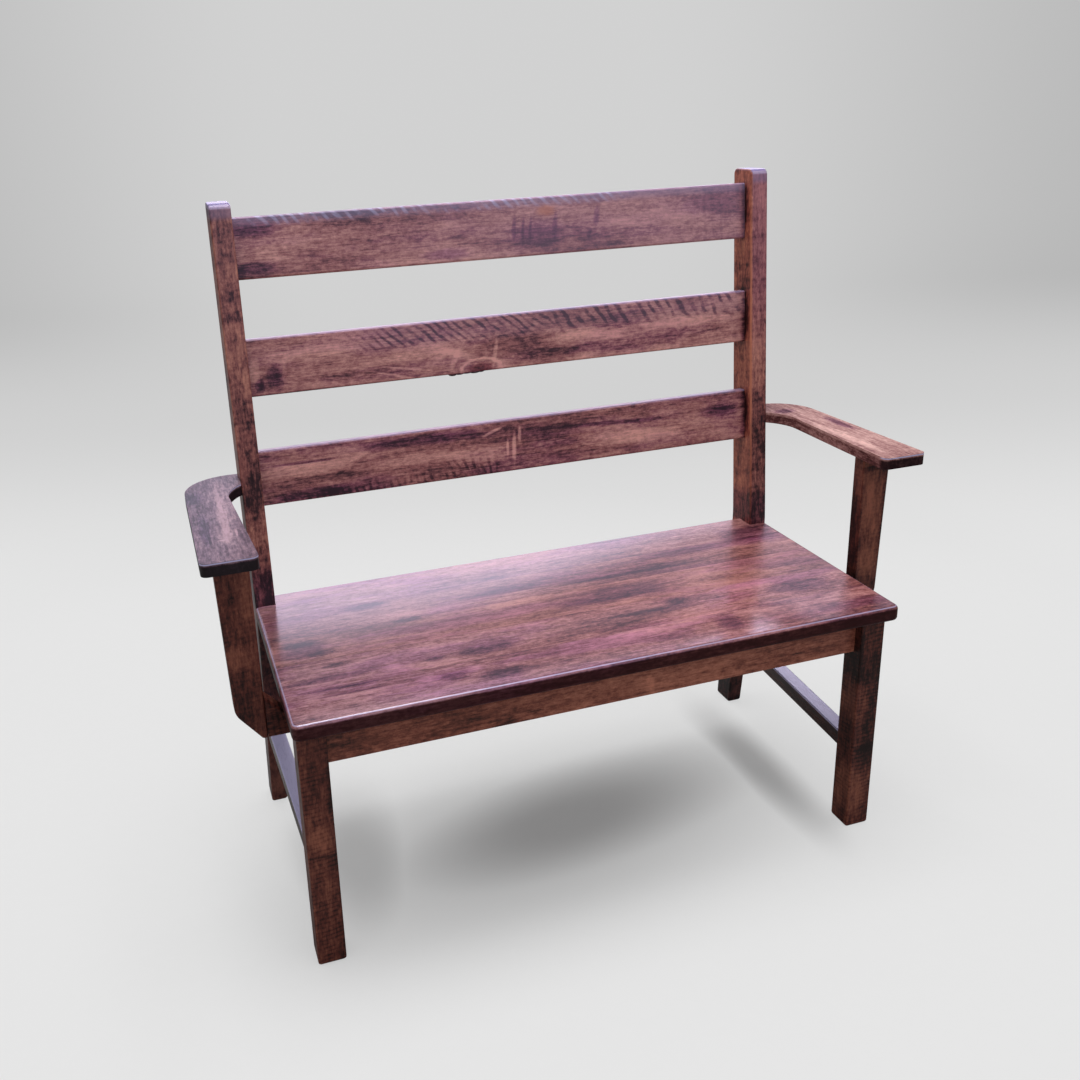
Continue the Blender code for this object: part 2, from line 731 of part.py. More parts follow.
def add_arm_support(bench, finish, label, side):
    bm = bmesh.new()
    sections = [support_section(x, lambda y, z=z: z) for x, z in support_outer_edge()]

    def seated(y):
        return arm_under(y) - FIT

    sections.append(support_section(SUPPORT_IN + SUPPORT_TOP_WIDTH, seated))
    sections.append(support_tenon_section(seated, 0.0))
    sections.append(support_tenon_section(lambda y: arm_under(y) + SUPPORT_TENON_LENGTH, 0.0))
    loft(bm, sections)
    support = add_piece(f"arm_support_{label}", bm, finish, bench, side)
    holes = bmesh.new()
    start = SUPPORT_IN - SIDE_APRON_X + APRON_THICKNESS / 2
    for place in support_screw_places():
        screw_hole(holes, place, start - MORTISE_MOUTH, start + SUPPORT_SCREW_BITE + FIT)
    cut(support, holes, side)


def add_spacer_block(bench, finish, label, side):
    """Spacer with a slanted top that falls towards the seat."""
    inner = SIDE_APRON_X + APRON_THICKNESS / 2 + FIT
    sections = []
    for x, height in ((inner, SPACER_LOW_HEIGHT), (SUPPORT_IN - FIT, SPACER_HEIGHT)):
        middle = Vector((x, SUPPORT_MID_Y, SUPPORT_BOTTOM + height / 2))
        outline = rounded_rectangle(SUPPORT_DEPTH, height, SPACER_EDGE_ROUND)
        sections.append([middle + Vector((0, y, z)) for y, z in outline])
    bm = bmesh.new()
    loft(bm, sections)
    spacer = add_piece(f"arm_spacer_{label}", bm, finish, bench, side)
    holes = bmesh.new()
    for place in support_screw_places():
        screw_hole(holes, place, 0.0, SUPPORT_IN - SIDE_APRON_X + APRON_THICKNESS)
    cut(spacer, holes, side)


# Corner blocks and fasteners
def add_corner_block(bench, finish, name, corner, side):
    bm = bmesh.new()
    corner.solid(bm)
    block = add_piece(name, bm, finish, bench, side)
    hollow = bmesh.new()
    screw_hole(hollow, corner_screw_place(corner), -MORTISE_MOUTH, CORNER_BLOCK_HEIGHT + MORTISE_MOUTH)
    if corner.depth > 0:
        upright = ((LEG_IN - FIT, LEG_FRONT), (LEG_OUT, LEG_BACK + FIT))
    else:
        nearest = post_front(FRAME_TOP)
        upright = ((POST_IN - FIT, nearest - FIT), (POST_OUT, nearest + POST_KNEE_DEPTH))
    (x_low, y_low), (x_high, y_high) = upright
    box(hollow, (x_low, y_low, APRON_BOTTOM), (x_high, y_high, SEAT_TOP))
    cut(block, hollow, side)


def add_fastener(bench, finish, name, bm, place, side):
    fastener = add_piece(name, bm, finish, bench)
    mirror = Matrix.Diagonal((side, 1, 1, 1))
    fastener.matrix_local = mirror @ place @ mirror


def add_fasteners(bench, metal, dowel_wood, label, side):
    seat_length = CORNER_BLOCK_HEIGHT + FIT + SEAT_SCREW_BITE
    for end, corner in (("front", front_corner()), ("rear", rear_corner())):
        bm = bmesh.new()
        screw(bm, seat_length)
        add_fastener(bench, metal, f"seat_screw_{end}_{label}", bm, corner_screw_place(corner), side)
    support_length = SUPPORT_IN - SIDE_APRON_X + APRON_THICKNESS / 2 + SUPPORT_SCREW_BITE
    for level, place in zip(("lower", "upper"), support_screw_places()):
        bm = bmesh.new()
        screw(bm, support_length)
        add_fastener(bench, metal, f"arm_support_screw_{level}_{label}", bm, place, side)
    for end, place in zip(("front", "rear"), dowel_places()):
        bm = bmesh.new()
        dowel(bm)
        add_fastener(bench, dowel_wood, f"arm_dowel_{end}_{label}", bm, place, side)


def main():
    for obj in list(bpy.data.objects):
        bpy.data.objects.remove(obj, do_unlink=True)
    bench = bpy.data.objects.new("hall_bench", None)
    bpy.context.scene.collection.objects.link(bench)
    seat_wood = timber("stained_seat", (0.150, 0.068, 0.062), 0.30)
    frame_wood = timber("stained_frame", (0.078, 0.034, 0.026), 0.32)
    slat_wood = timber("stained_slats", (0.115, 0.052, 0.045), 0.30)
    arm_wood = timber("stained_arms", (0.120, 0.060, 0.062), 0.28)
    plain_wood = timber("plain_hardwood", (0.420, 0.270, 0.150), 0.60)
    metal = steel("zinc_plated_steel")

    add_seat(bench, seat_wood)
    for name, rail in slats().items():
        add_cross_rail(bench, slat_wood, name, rail)
    add_cross_rail(bench, frame_wood, "front_apron", front_apron())
    add_cross_rail(bench, frame_wood, "rear_apron", rear_apron())
    for label, side in SIDES:
        add_front_leg(bench, frame_wood, label, side)
        add_back_post(bench, frame_wood, label, side)
        add_side_apron(bench, frame_wood, label, side)
        add_side_stretcher(bench, frame_wood, label, side)
        add_arm(bench, arm_wood, label, side)
        add_arm_support(bench, frame_wood, label, side)
        add_spacer_block(bench, frame_wood, label, side)
        add_corner_block(bench, plain_wood, f"corner_block_front_{label}", front_corner(), side)
        add_corner_block(bench, plain_wood, f"corner_block_rear_{label}", rear_corner(), side)
        add_fasteners(bench, metal, plain_wood, label, side)


main()
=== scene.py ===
"""Hall bench: the finished look of a stained maple settle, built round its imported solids.

Metres, +Z up, front towards -Y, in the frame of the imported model.
Paired pieces are shaped on the right (+X) and mirrored for the left.
"""

import math

import bmesh
import bpy
from bpy.props import FloatProperty, FloatVectorProperty, PointerProperty
from mathutils import Matrix, Vector


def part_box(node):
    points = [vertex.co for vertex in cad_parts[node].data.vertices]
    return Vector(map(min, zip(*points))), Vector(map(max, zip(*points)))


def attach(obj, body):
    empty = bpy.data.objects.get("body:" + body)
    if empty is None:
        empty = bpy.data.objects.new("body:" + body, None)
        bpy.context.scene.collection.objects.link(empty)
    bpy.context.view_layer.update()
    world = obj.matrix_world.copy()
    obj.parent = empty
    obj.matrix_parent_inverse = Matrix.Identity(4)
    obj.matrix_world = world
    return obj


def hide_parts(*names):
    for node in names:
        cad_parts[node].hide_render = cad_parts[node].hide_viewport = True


bl_info = {
    "name": "Hall bench",
    "version": (1, 0, 0),
    "blender": (4, 5, 0),
    "location": "View3D > Sidebar > Bench",
    "description": "Models a stained maple hall bench with a three-slat back and shaped arms",
    "category": "Add Mesh",
}

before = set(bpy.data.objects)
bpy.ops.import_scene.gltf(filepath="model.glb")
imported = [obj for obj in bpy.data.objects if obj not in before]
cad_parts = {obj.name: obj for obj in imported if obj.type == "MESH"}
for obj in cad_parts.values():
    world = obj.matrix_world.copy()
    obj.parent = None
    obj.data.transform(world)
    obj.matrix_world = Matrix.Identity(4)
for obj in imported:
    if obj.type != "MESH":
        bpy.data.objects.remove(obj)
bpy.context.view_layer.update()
SIDES = (("left", -1), ("right", 1))
BOARDS = 5

# Turns that lay the grain along an axis
ALONG_X = (0.0, 0.0, 0.0)
ALONG_Y = (0.0, 0.0, -math.pi / 2)
ALONG_Z = (0.0, math.pi / 2, 0.0)

# Edges that turn further are eased, faces that meet at a greater angle stay sharp, closer corners become one
EASED_TURN = math.radians(30)
CREASE_TURN = math.radians(40)
WELD = 1e-6

# Where the marks in the wood lie: how deep they go, front faces (Y) and heights (Z)
MARK_DEPTH = 0.05
TOP_SLAT_FACE, MIDDLE_SLAT_FACE, LOWER_SLAT_FACE = 0.219, 0.203, 0.188
APRON_FACE = -0.2235
SLAT_MIDDLES = (0.684, 0.881, 1.084)
ARM_LEVEL = 0.69


# What a user may change
def length(name, description, default):
    return FloatProperty(name=name, description=description, default=default, unit="LENGTH", precision=4)


def turn(name, description, degrees):
    return FloatProperty(
        name=name, description=description, default=math.radians(degrees), subtype="ANGLE")


def share(name, description, default):
    return FloatProperty(
        name=name, description=description, default=default, min=0.0, max=1.0, subtype="FACTOR")


def power(name, description, watts):
    return FloatProperty(name=name, description=description, default=watts, unit="POWER")


def colour(name, description, default):
    return FloatVectorProperty(
        name=name, description=description, default=default, size=3, min=0.0, max=1.0, subtype="COLOR")


class BenchSizes(bpy.types.PropertyGroup):
    """Sizes of the bench, as its solids have them"""
    gap: length("Fit", "Clearance between two pieces", 0.0003)
    seat_top: length("Seat height", "Height of the seat's upper face", 0.457)
    seat_thickness: length("Seat thickness", "Thickness of the seat boards", 0.028)
    seat_half: length("Half seat", "Half the seat's width", 0.523)
    seat_front: length("Seat front", "Depth of the seat's front edge", -0.2685)
    seat_depth: length("Seat depth", "From the seat's front edge to its rear edge", 0.457)
    seat_edge: length("Seat edge", "Rounding of the seat's edges", 0.007)
    seat_corner: length("Seat corner", "Rounding of the seat's front corners in plan", 0.012)
    post_notch: length("Post notch", "How far the posts stand into the seat's rear edge", 0.040)
    post_in: length("Post inside", "Inner face of a post", 0.486)
    post_out: length("Post outside", "Outer face of a post", 0.522)
    post_top: length("Post height", "Height of the posts", 1.160)
    knee_depth: length("Knee depth", "Depth of a post at the seat", 0.069)
    knee_soft: length("Knee softness", "Length over which a post bends at the seat", 0.012)
    top_depth: length("Post top depth", "Depth of a post at its top", 0.062)
    top_rake: length("Top rake", "How far the top of a post leans back", 0.055)
    top_round: length("Post top rounding", "Rounding of a post's top, front and back", 0.011)
    foot_rake: length("Foot rake", "How far the foot of a post kicks back", 0.070)
    foot_depth: length("Foot depth", "Depth of a post at the floor", 0.050)
    foot_width: length("Foot width", "Width of a post at the floor", 0.030)
    foot_splay: length("Foot splay", "How far the foot of a post stands out", 0.004)
    frame_edge: length("Frame edge", "Rounding of the edges of legs, posts and supports", 0.003)
    foot_ease: length("Foot rounding", "Rounding of the lower ends of legs and posts", 0.006)
    slat_setback: length("Slat setback", "From the front of the posts to the slats", 0.0215)
    slat_thickness: length("Slat thickness", "Thickness of the back slats", 0.020)
    slat_edge: length("Slat edge", "Rounding of the slats' long edges", 0.004)
    slat_rise: length("Slat rise", "From the seat to the lower slat", 0.177)
    slat_height: length("Slat height", "Height of the lower and middle slat", 0.100)
    top_slat_height: length("Top slat height", "Height of the top slat", 0.104)
    lower_gap: length("Lower opening", "Between the lower and the middle slat", 0.0965)
    upper_gap: length("Upper opening", "Between the middle and the top slat", 0.1005)
    apron_height: length("Apron height", "Height of the aprons under the seat", 0.072)
    apron_edge: length("Apron edge", "Rounding of the edges of aprons and stretchers", 0.002)
    stretcher_top: length("Stretcher height", "Upper face of a side stretcher at the leg", 0.173)
    stretcher_rise: length("Stretcher rise", "How far a side stretcher climbs to the post", 0.016)
    stretcher_width: length("Stretcher width", "Width of a side stretcher", 0.028)
    stretcher_height: length("Stretcher depth", "Height of a side stretcher's section", 0.030)
    arm_front: length("Arm front", "Depth of the front end of an arm", -0.1825)
    arm_out: length("Arm outside", "Outer edge of an arm", 0.619)
    arm_rise: length("Arm height", "Upper face of an arm at its front end", 0.694)
    arm_slope: FloatProperty(
        name="Arm slope", description="Fall of an arm to the rear, per metre", default=0.018)
    arm_thickness: length("Arm thickness", "Thickness of an arm", 0.021)
    arm_front_width: length("Arm front width", "Width of an arm at its front end", 0.085)
    arm_rear_width: length("Arm waist", "Width of an arm before its bend", 0.068)
    arm_end_width: length("Arm end", "Width of an arm where it meets the post", 0.062)
    arm_outer_radius: length("Arm outer bend", "Radius of an arm's outer edge", 0.084)
    arm_inner_radius: length("Arm inner bend", "Radius of an arm's inner edge", 0.080)
    arm_corner: length("Arm corner", "Rounding of an arm's front corners in plan", 0.011)
    arm_edge: length("Arm edge", "Rounding of an arm's edges", 0.006)
    support_in: length("Support inside", "Inner face of an arm support", 0.545)
    support_front: length("Support front", "Front face of an arm support", -0.1145)
    support_depth: length("Support depth", "Thickness of an arm support, front to back", 0.028)
    support_bottom: length("Support foot", "Lower end of an arm support", 0.353)
    support_toe: length("Support toe", "Width of an arm support at its lower end", 0.008)
    support_low: length("Support low width", "Width of an arm support above its slanted cut", 0.047)
    support_high: length("Support top width", "Width of an arm support under the arm", 0.055)
    support_cut: length("Support cut", "Height of the slanted cut", 0.050)
    support_round: length("Support turn", "Rounding of the turn above the slanted cut", 0.030)
    spacer_in: length("Spacer inside", "Inner face of a spacer block", 0.5083)
    spacer_high: length("Spacer height", "Height of a spacer block at the support", 0.072)
    spacer_low: length("Spacer low height", "Height of a spacer block at the apron", 0.035)
    spacer_edge: length("Spacer edge", "Rounding of a spacer block's edges", 0.004)


class BenchStains(bpy.types.PropertyGroup):
    """Shades of the stain on each kind of piece, and the painted highlights, sheen and shade laid over them
    """
    seat_dark: colour("Seat dark", "Dark grain of the seat", (0.085, 0.026, 0.032))
    seat_middle: colour("Seat middle", "Main shade of the seat", (0.250, 0.092, 0.084))
    seat_light: colour("Seat light", "Light grain of the seat", (0.480, 0.220, 0.200))
    board_1: colour("Front board", "Tint of the seat's front board", (0.960, 0.920, 0.980))
    board_2: colour("Second board", "Tint of the seat's second board", (0.940, 0.880, 0.900))
    board_3: colour("Middle board", "Tint of the seat's middle board", (0.840, 0.760, 0.680))
    board_4: colour("Fourth board", "Tint of the seat's fourth board", (0.860, 0.800, 0.780))
    board_5: colour("Rear board", "Tint of the seat's rear board", (0.960, 0.950, 0.980))
    # Painted shade: darkens the seat's front and side faces below its top
    seat_side: colour("Seat side", "Shade of the seat's front and side faces", (0.026, 0.003, 0.002))
    # Painted sheen: a bluish tint over the seat's left end
    violet: colour("Violet", "Cast of the seat's left end", (0.780, 0.880, 1.000))
    lacquer_rear: share("Rear lacquer", "Sheen of the seat's rear boards", 0.80)
    lacquer_front: share("Front lacquer", "Sheen of the seat's front boards", 0.60)
    slat_dark: colour("Slat dark", "Dark grain of the slats", (0.078, 0.022, 0.030))
    slat_middle: colour("Slat middle", "Main shade of the slats", (0.318, 0.111, 0.110))
    slat_light: colour("Slat light", "Light grain of the slats", (0.580, 0.280, 0.248))
    # Painted sheen: a mauve veil on the upper slats and on a spot of the seat
    slat_veil: colour("Slat veil", "Mauve cast of the upper slats", (0.420, 0.270, 0.400))
    post_dark: colour("Post dark", "Dark grain of the back posts", (0.045, 0.013, 0.016))
    post_middle: colour("Post middle", "Main shade of the back posts", (0.255, 0.083, 0.074))
    post_light: colour("Post light", "Light grain of the back posts", (0.500, 0.210, 0.155))
    leg_dark: colour("Leg dark", "Dark grain of legs, supports and stretchers", (0.026, 0.008, 0.007))
    leg_middle: colour("Leg middle", "Main shade of legs, supports and stretchers", (0.100, 0.026, 0.019))
    leg_light: colour("Leg light", "Light grain of legs, supports and stretchers", (0.210, 0.070, 0.044))
    apron_dark: colour("Apron dark", "Dark grain of the aprons", (0.055, 0.017, 0.012))
    apron_middle: colour("Apron middle", "Main shade of the aprons", (0.200, 0.056, 0.036))
    apron_light: colour("Apron light", "Light grain of the aprons", (0.390, 0.140, 0.090))
    # The left arm's shades are its own darker tone, with a bluish tint that is painted sheen
    left_arm_dark: colour("Left arm dark", "Dark grain of the left arm", (0.035, 0.016, 0.024))
    left_arm_middle: colour("Left arm middle", "Main shade of the left arm", (0.112, 0.060, 0.084))
    left_arm_light: colour("Left arm light", "Light grain of the left arm", (0.280, 0.170, 0.195))
    right_arm_dark: colour("Right arm dark", "Dark grain of the right arm", (0.130, 0.048, 0.048))
    right_arm_middle: colour("Right arm middle", "Main shade of the right arm", (0.335, 0.165, 0.155))
    right_arm_light: colour("Right arm light", "Light grain of the right arm", (0.555, 0.330, 0.300))
    # Partly end-grain stain on the arms' front ends, partly painted shade on the arms' edges and the
    # stretchers' sides
    arm_side: colour("Arm side", "Shade of the arms' edges and the stretchers' sides", (0.012, 0.007, 0.009))
    dusk: colour("Dusk", "Purple cast where the stain sank in", (0.770, 0.610, 0.970))
    ember: colour("Ember", "Orange cast where the stain stayed thin", (1.000, 0.740, 0.560))
    # Painted shade: darkens the posts and the aprons below the seat, where shade falls
    shade: colour("Shade", "Cast of sides and feet, where the stain lies thick", (0.240, 0.180, 0.180))
    # Painted reflection: bluish darkening of the posts' rounded tops
    cap: colour("Cap", "Cast of the posts' rounded tops", (0.520, 0.520, 0.840))
    glow: colour("Glow", "Warm spots and worn edges", (0.560, 0.200, 0.120))
    # Painted sheen: a bluish reflection on stretcher tops, upper slat edges and post tops
    frost: colour("Frost", "Bluish shine on stretchers and upper edges", (0.340, 0.290, 0.480))
    # Painted highlight: the light line where rounded edges catch the light, also the dashes on the top slat's
    # edge
    rim: colour("Rim", "Light line along rounded edges", (0.530, 0.500, 0.760))
    bare_wood: colour("Bare wood", "Unstained blocks and pegs", (0.520, 0.360, 0.220))
    bare_grain: colour("Bare grain", "Darker grain of the unstained pieces", (0.340, 0.200, 0.105))
    zinc: colour("Zinc", "Plated screws", (0.560, 0.550, 0.520))


class BenchStudio(bpy.types.PropertyGroup):
    """Floor, lamps and camera"""
    floor: colour("Floor", "Colour of the floor round the bench", (0.790, 0.790, 0.790))
    backdrop: colour("Backdrop", "Colour of the far backdrop", (0.640, 0.640, 0.640))
    wings: colour("Wings", "Colour of the backdrop's far sides", (0.470, 0.470, 0.470))
    bounce: colour("Bounce", "Colour of the floor as the bench sees it", (0.330, 0.330, 0.330))
    sky: colour("Sky", "Colour of the light from all round", (1.000, 1.000, 1.000))
    sky_level: share("Sky level", "Strength of the light from all round", 0.66)
    key_power: power("Key", "Power of the lamp above the bench", 80.0)
    window_power: power("Window", "Power of the lamp that gives the seat its sheen", 78.0)
    window_tint: colour("Window tint", "Colour of the lamps behind the bench", (0.810, 0.750, 1.000))
    side_power: power("Side", "Power of the small lamp that shows in the right stretcher", 44.0)
    edge_power: power("Edge", "Power of the overhead lamp that shows in rounded edges", 128.0)
    front_power: power("Front", "Power of the lamp that shows in the upper slats", 144.0)
    haze_tint: colour("Haze tint", "Colour of the lamps that only show as sheen", (0.720, 0.660, 1.000))
    camera_place: FloatVectorProperty(
        name="Camera", description="Place of the camera", subtype="XYZ",
        default=(-0.65926, -1.64107, 1.30356))
    camera_heading: turn("Heading", "Turn of the camera from the bench's middle line", 17.017)
    camera_pitch: turn("Pitch", "How far the camera looks down", 18.558)
    camera_roll: turn("Roll", "Tilt of the camera", -2.330)
    camera_lens: FloatProperty(name="Lens", description="Focal length on a 36 mm wide image", default=35.894)
    camera_shift: FloatVectorProperty(
        name="Shift", description="Shift of the picture, as a share of its width", size=2,
        default=(0.0657, -0.0716))


# Shaping tools
def slab(outline):
    """Mesh of one flat face through a few points; returns the mesh and its corners."""
    bm = bmesh.new()
    corners = [bm.verts.new(point) for point in outline]
    bm.faces.new(corners)
    return bm, corners


def block(low, high, place=Matrix.Identity(4)):
    """Mesh of a box between two corners, moved to its place."""
    size = Vector(high) - Vector(low)
    middle = (Vector(high) + Vector(low)) / 2
    bm = bmesh.new()
    bmesh.ops.create_cube(
        bm, size=1, matrix=place @ Matrix.Translation(middle) @ Matrix.Diagonal(size).to_4x4())
    return bm


def move_new(bm, made, along):
    """Move the corners that an extrusion has just made."""
    corners = [item for item in made["geom"] if isinstance(item, bmesh.types.BMVert)]
    bmesh.ops.translate(bm, vec=along, verts=corners)
    bmesh.ops.recalc_face_normals(bm, faces=bm.faces)


def thicken(bm, along):
    move_new(bm, bmesh.ops.extrude_face_region(bm, geom=bm.faces[:], use_keep_orig=True), along)


def fillet(bm, corner, reach, steps):
    """Round one corner of an outline; reach is how far the rounding runs along both sides."""
    bmesh.ops.bevel(
        bm, geom=[corner], offset=reach, offset_type="OFFSET", affect="VERTICES", segments=steps,
        profile=0.5, material=-1)


def ease(bm, edges, radius, steps=4):
    bmesh.ops.bevel(
        bm, geom=edges, offset=radius, offset_type="OFFSET", affect="EDGES", segments=steps,
        profile=0.5, material=-1, clamp_overlap=True)


def sharp_edges(bm, keep=lambda point: False):
    """Edges that turn by more than a third of a right angle, but not those that keep names."""
    return [
        edge for edge in bm.edges
        if len(edge.link_faces) == 2 and edge.calc_face_angle() > EASED_TURN
        and not all(keep(vert.co) for vert in edge.verts)]


def long_edges(bm, axis, least):
    """Edges that run further than a given length along one axis, counted from 0 for X."""
    return [e for e in bm.edges if abs(e.verts[0].co[axis] - e.verts[1].co[axis]) > least]


def foot_edges(bm, sizes):
    return [e for e in bm.edges if max(v.co.z for v in e.verts) < sizes.gap]


def cut_levels(bm, heights):
    """Add level edge loops, so that the piece can bend there."""
    for height in heights:
        geometry = bm.verts[:] + bm.edges[:] + bm.faces[:]
        bmesh.ops.bisect_plane(bm, geom=geometry, plane_co=(0, 0, height), plane_no=(0, 0, 1))


def add_piece(name, bm, material, nodes, side=1):
    """Finish a mesh, hang it on the frame and let it stand for its solids."""
    bmesh.ops.scale(bm, vec=(side, 1, 1), verts=bm.verts)
    bmesh.ops.remove_doubles(bm, verts=bm.verts, dist=WELD)
    bmesh.ops.recalc_face_normals(bm, faces=bm.faces)
    mesh = bpy.data.meshes.new(name)
    bm.to_mesh(mesh)
    bm.free()
    mesh.materials.append(material)
    mesh.shade_smooth()
    mesh.set_sharp_from_angle(angle=CREASE_TURN)
    piece = bpy.data.objects.new(name, mesh)
    bpy.context.scene.collection.objects.link(piece)
    normals = piece.modifiers.new("flat faces", "WEIGHTED_NORMAL")
    normals.keep_sharp = True
    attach(piece, "root")
    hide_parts(*nodes)


# Shared lines of the bench
def bend(sizes, rise, slope_above, slope_below):
    """Offset of a line that turns softly from one slope to the other at the seat's level."""
    lean = (slope_above - slope_below) / 2
    spread = (slope_above + slope_below) / 2
    return lean * rise + spread * math.hypot(rise, sizes.knee_soft)


def knee_front(sizes):
    return sizes.seat_front + sizes.seat_depth - sizes.post_notch


def post_rake(sizes):
    return math.atan2(sizes.top_rake, sizes.post_top - sizes.seat_top)


def post_front(sizes, z):
    above = sizes.top_rake / (sizes.post_top - sizes.seat_top)
    return knee_front(sizes) + bend(sizes, z - sizes.seat_top, above, sizes.foot_rake / sizes.seat_top)


def post_back(sizes, z):
    above = (sizes.top_rake + sizes.top_depth - sizes.knee_depth) / (sizes.post_top - sizes.seat_top)
    below = (sizes.foot_rake + sizes.foot_depth - sizes.knee_depth) / sizes.seat_top
    return knee_front(sizes) + sizes.knee_depth + bend(sizes, z - sizes.seat_top, above, below)


def post_sides(sizes, z):
    """Inner and outer face of the right post, which tapers and splays below the aprons."""
    start = sizes.seat_top - sizes.seat_thickness - sizes.gap - sizes.apron_height
    below = max(0.0, (start - z) / start)
    outer = sizes.post_out + sizes.foot_splay * below
    width = sizes.post_out - sizes.post_in
    return outer - width + (width - sizes.foot_width) * below, outer


def arm_top(sizes, y):
    return sizes.arm_rise - sizes.arm_slope * (y - sizes.arm_front)


# Shader tools
def put(tree, kind, inputs=None, **options):
    """Add a node, set its options, and give its inputs values or links."""
    node = tree.nodes.new("ShaderNode" + kind)
    for option, value in options.items():
        setattr(node, option, value)
    for name, value in (inputs or {}).items():
        if isinstance(value, bpy.types.NodeSocket):
            tree.links.new(value, node.inputs[name])
        else:
            node.inputs[name].default_value = value
    return node


def maths(tree, operation, *values):
    return put(tree, "Math", dict(enumerate(values)), operation=operation).outputs[0]


def stretch(tree, vector, scale):
    return put(tree, "VectorMath", {0: vector, 1: scale}, operation="MULTIPLY").outputs[0]


def noise(tree, vector, scale, detail, roughness=0.55, distortion=0.0):
    """Noise on a stretched pattern, as a value."""
    node = put(tree, "TexNoise", {
        "Vector": stretch(tree, vector, scale), "Scale": 1.0, "Detail": detail, "Roughness": roughness,
        "Distortion": distortion})
    return node.outputs["Fac"]


def remap(tree, value, low, high, to_low=0.0, to_high=1.0, soft=True, clamp=True):
    node = put(tree, "MapRange", {
        "Value": value, "From Min": low, "From Max": high, "To Min": to_low, "To Max": to_high},
        interpolation_type="SMOOTHSTEP" if soft else "LINEAR", clamp=clamp)
    return node.outputs["Result"]


def mix(tree, factor, first, second, blend="MIX"):
    node = put(tree, "Mix", {0: factor, 6: first, 7: second}, data_type="RGBA", blend_type=blend)
    return node.outputs[2]


def rgb(value):
    return (*value, 1.0)


def new_group(name, inputs, outputs):
    """Empty shader group; inputs are (name, kind, value), outputs are (name, kind)."""
    tree = bpy.data.node_groups.new(name, "ShaderNodeTree")
    for label, kind, value in inputs:
        socket = tree.interface.new_socket(label, in_out="INPUT", socket_type="NodeSocket" + kind)
        socket.default_value = value
    for label, kind in outputs:
        tree.interface.new_socket(label, in_out="OUTPUT", socket_type="NodeSocket" + kind)
    entry = tree.nodes.new("NodeGroupInput")
    exit_node = tree.nodes.new("NodeGroupOutput")
    return tree, entry.outputs, exit_node.inputs


def use_group(tree, make, inputs):
    """Outputs of a group node; the group is made the first time it is used."""
    group = bpy.data.node_groups.get(make.__name__) or make()
    return put(tree, "Group", inputs, node_tree=group).outputs


def maple_figure():
    """Figure of maple whose grain runs along X: tone, fibres, stain clouds, purple cast and dark dashes."""
    tree, given, result = new_group(
        "maple_figure", (("Vector", "Vector", (0, 0, 0)), ("Seed", "Float", 0.0)),
        (("Tone", "Float"), ("Fibre", "Float"), ("Cloud", "Float"), ("Cast", "Float"), ("Dash", "Float")))
    seeded = put(tree, "VectorMath", {0: given["Seed"], 1: (1.7, 0.9, 1.3), 2: given["Vector"]},
                 operation="MULTIPLY_ADD").outputs[0]
    drift = put(tree, "TexNoise", {
        "Vector": stretch(tree, seeded, (2.4, 7.0, 7.0)), "Scale": 1.0, "Detail": 2.0})
    sway = put(tree, "VectorMath", {0: drift.outputs["Color"], 1: (0.0, 0.020, 0.020), 2: seeded},
               operation="MULTIPLY_ADD").outputs[0]
    streak = noise(tree, sway, (8.0, 110.0, 110.0), 4.0, 0.65)
    fibre = noise(tree, sway, (36.0, 260.0, 260.0), 4.0, 0.75)
    layers = (
        (0.22, noise(tree, sway, (2.6, 14.0, 14.0), 2.0, 0.5)),
        (0.18, noise(tree, sway, (8.0, 38.0, 38.0), 4.0, 0.65)),
        (0.14, streak),
        (0.22, fibre),
        (0.24, noise(tree, seeded, (95.0, 150.0, 150.0), 4.0, 0.75)))
    mixed = 0.0
    for weight, layer in layers:
        mixed = maths(tree, "MULTIPLY_ADD", layer, weight, mixed)
    tree.links.new(remap(tree, mixed, 0.38, 0.62, soft=False, clamp=False), result["Tone"])
    tree.links.new(fibre, result["Fibre"])
    ragged = maths(tree, "MULTIPLY_ADD", streak, 0.22, noise(tree, seeded, (6.0, 15.0, 15.0), 7.0, 0.68, 0.3))
    tree.links.new(remap(tree, ragged, 0.62, 0.84), result["Cloud"])
    cast = noise(tree, seeded, (4.0, 18.0, 18.0), 6.0, 0.65)
    tree.links.new(remap(tree, cast, 0.44, 0.60), result["Cast"])
    dashes = noise(tree, sway, (18.0, 320.0, 320.0), 2.0)
    tree.links.new(remap(tree, dashes, 0.56, 0.70), result["Dash"])
    return tree


def cross_ripple():
    """Ripples across a grain along X, which lean, wander and break off."""
    tree, given, result = new_group(
        "cross_ripple",
        (("Vector", "Vector", (0, 0, 0)), ("Spacing", "Float", 0.02), ("Slant", "Float", 0.3)),
        (("Ripple", "Float"),))
    parts = put(tree, "SeparateXYZ", {0: given["Vector"]}).outputs
    across = maths(tree, "ADD", parts["Y"], parts["Z"])
    along = maths(tree, "MULTIPLY_ADD", across, given["Slant"], parts["X"])
    turns = maths(tree, "MULTIPLY", maths(tree, "DIVIDE", along, given["Spacing"]), 2 * math.pi)
    wander = noise(tree, given["Vector"], (14.0, 14.0, 14.0), 2.0)
    wave = maths(tree, "SINE", maths(tree, "MULTIPLY_ADD", wander, 11.0, turns))
    broken = remap(tree, noise(tree, given["Vector"], (30.0, 60.0, 60.0), 3.0), 0.32, 0.62)
    tree.links.new(maths(tree, "MULTIPLY", remap(tree, wave, -0.2, 0.95), broken), result["Ripple"])
    return tree


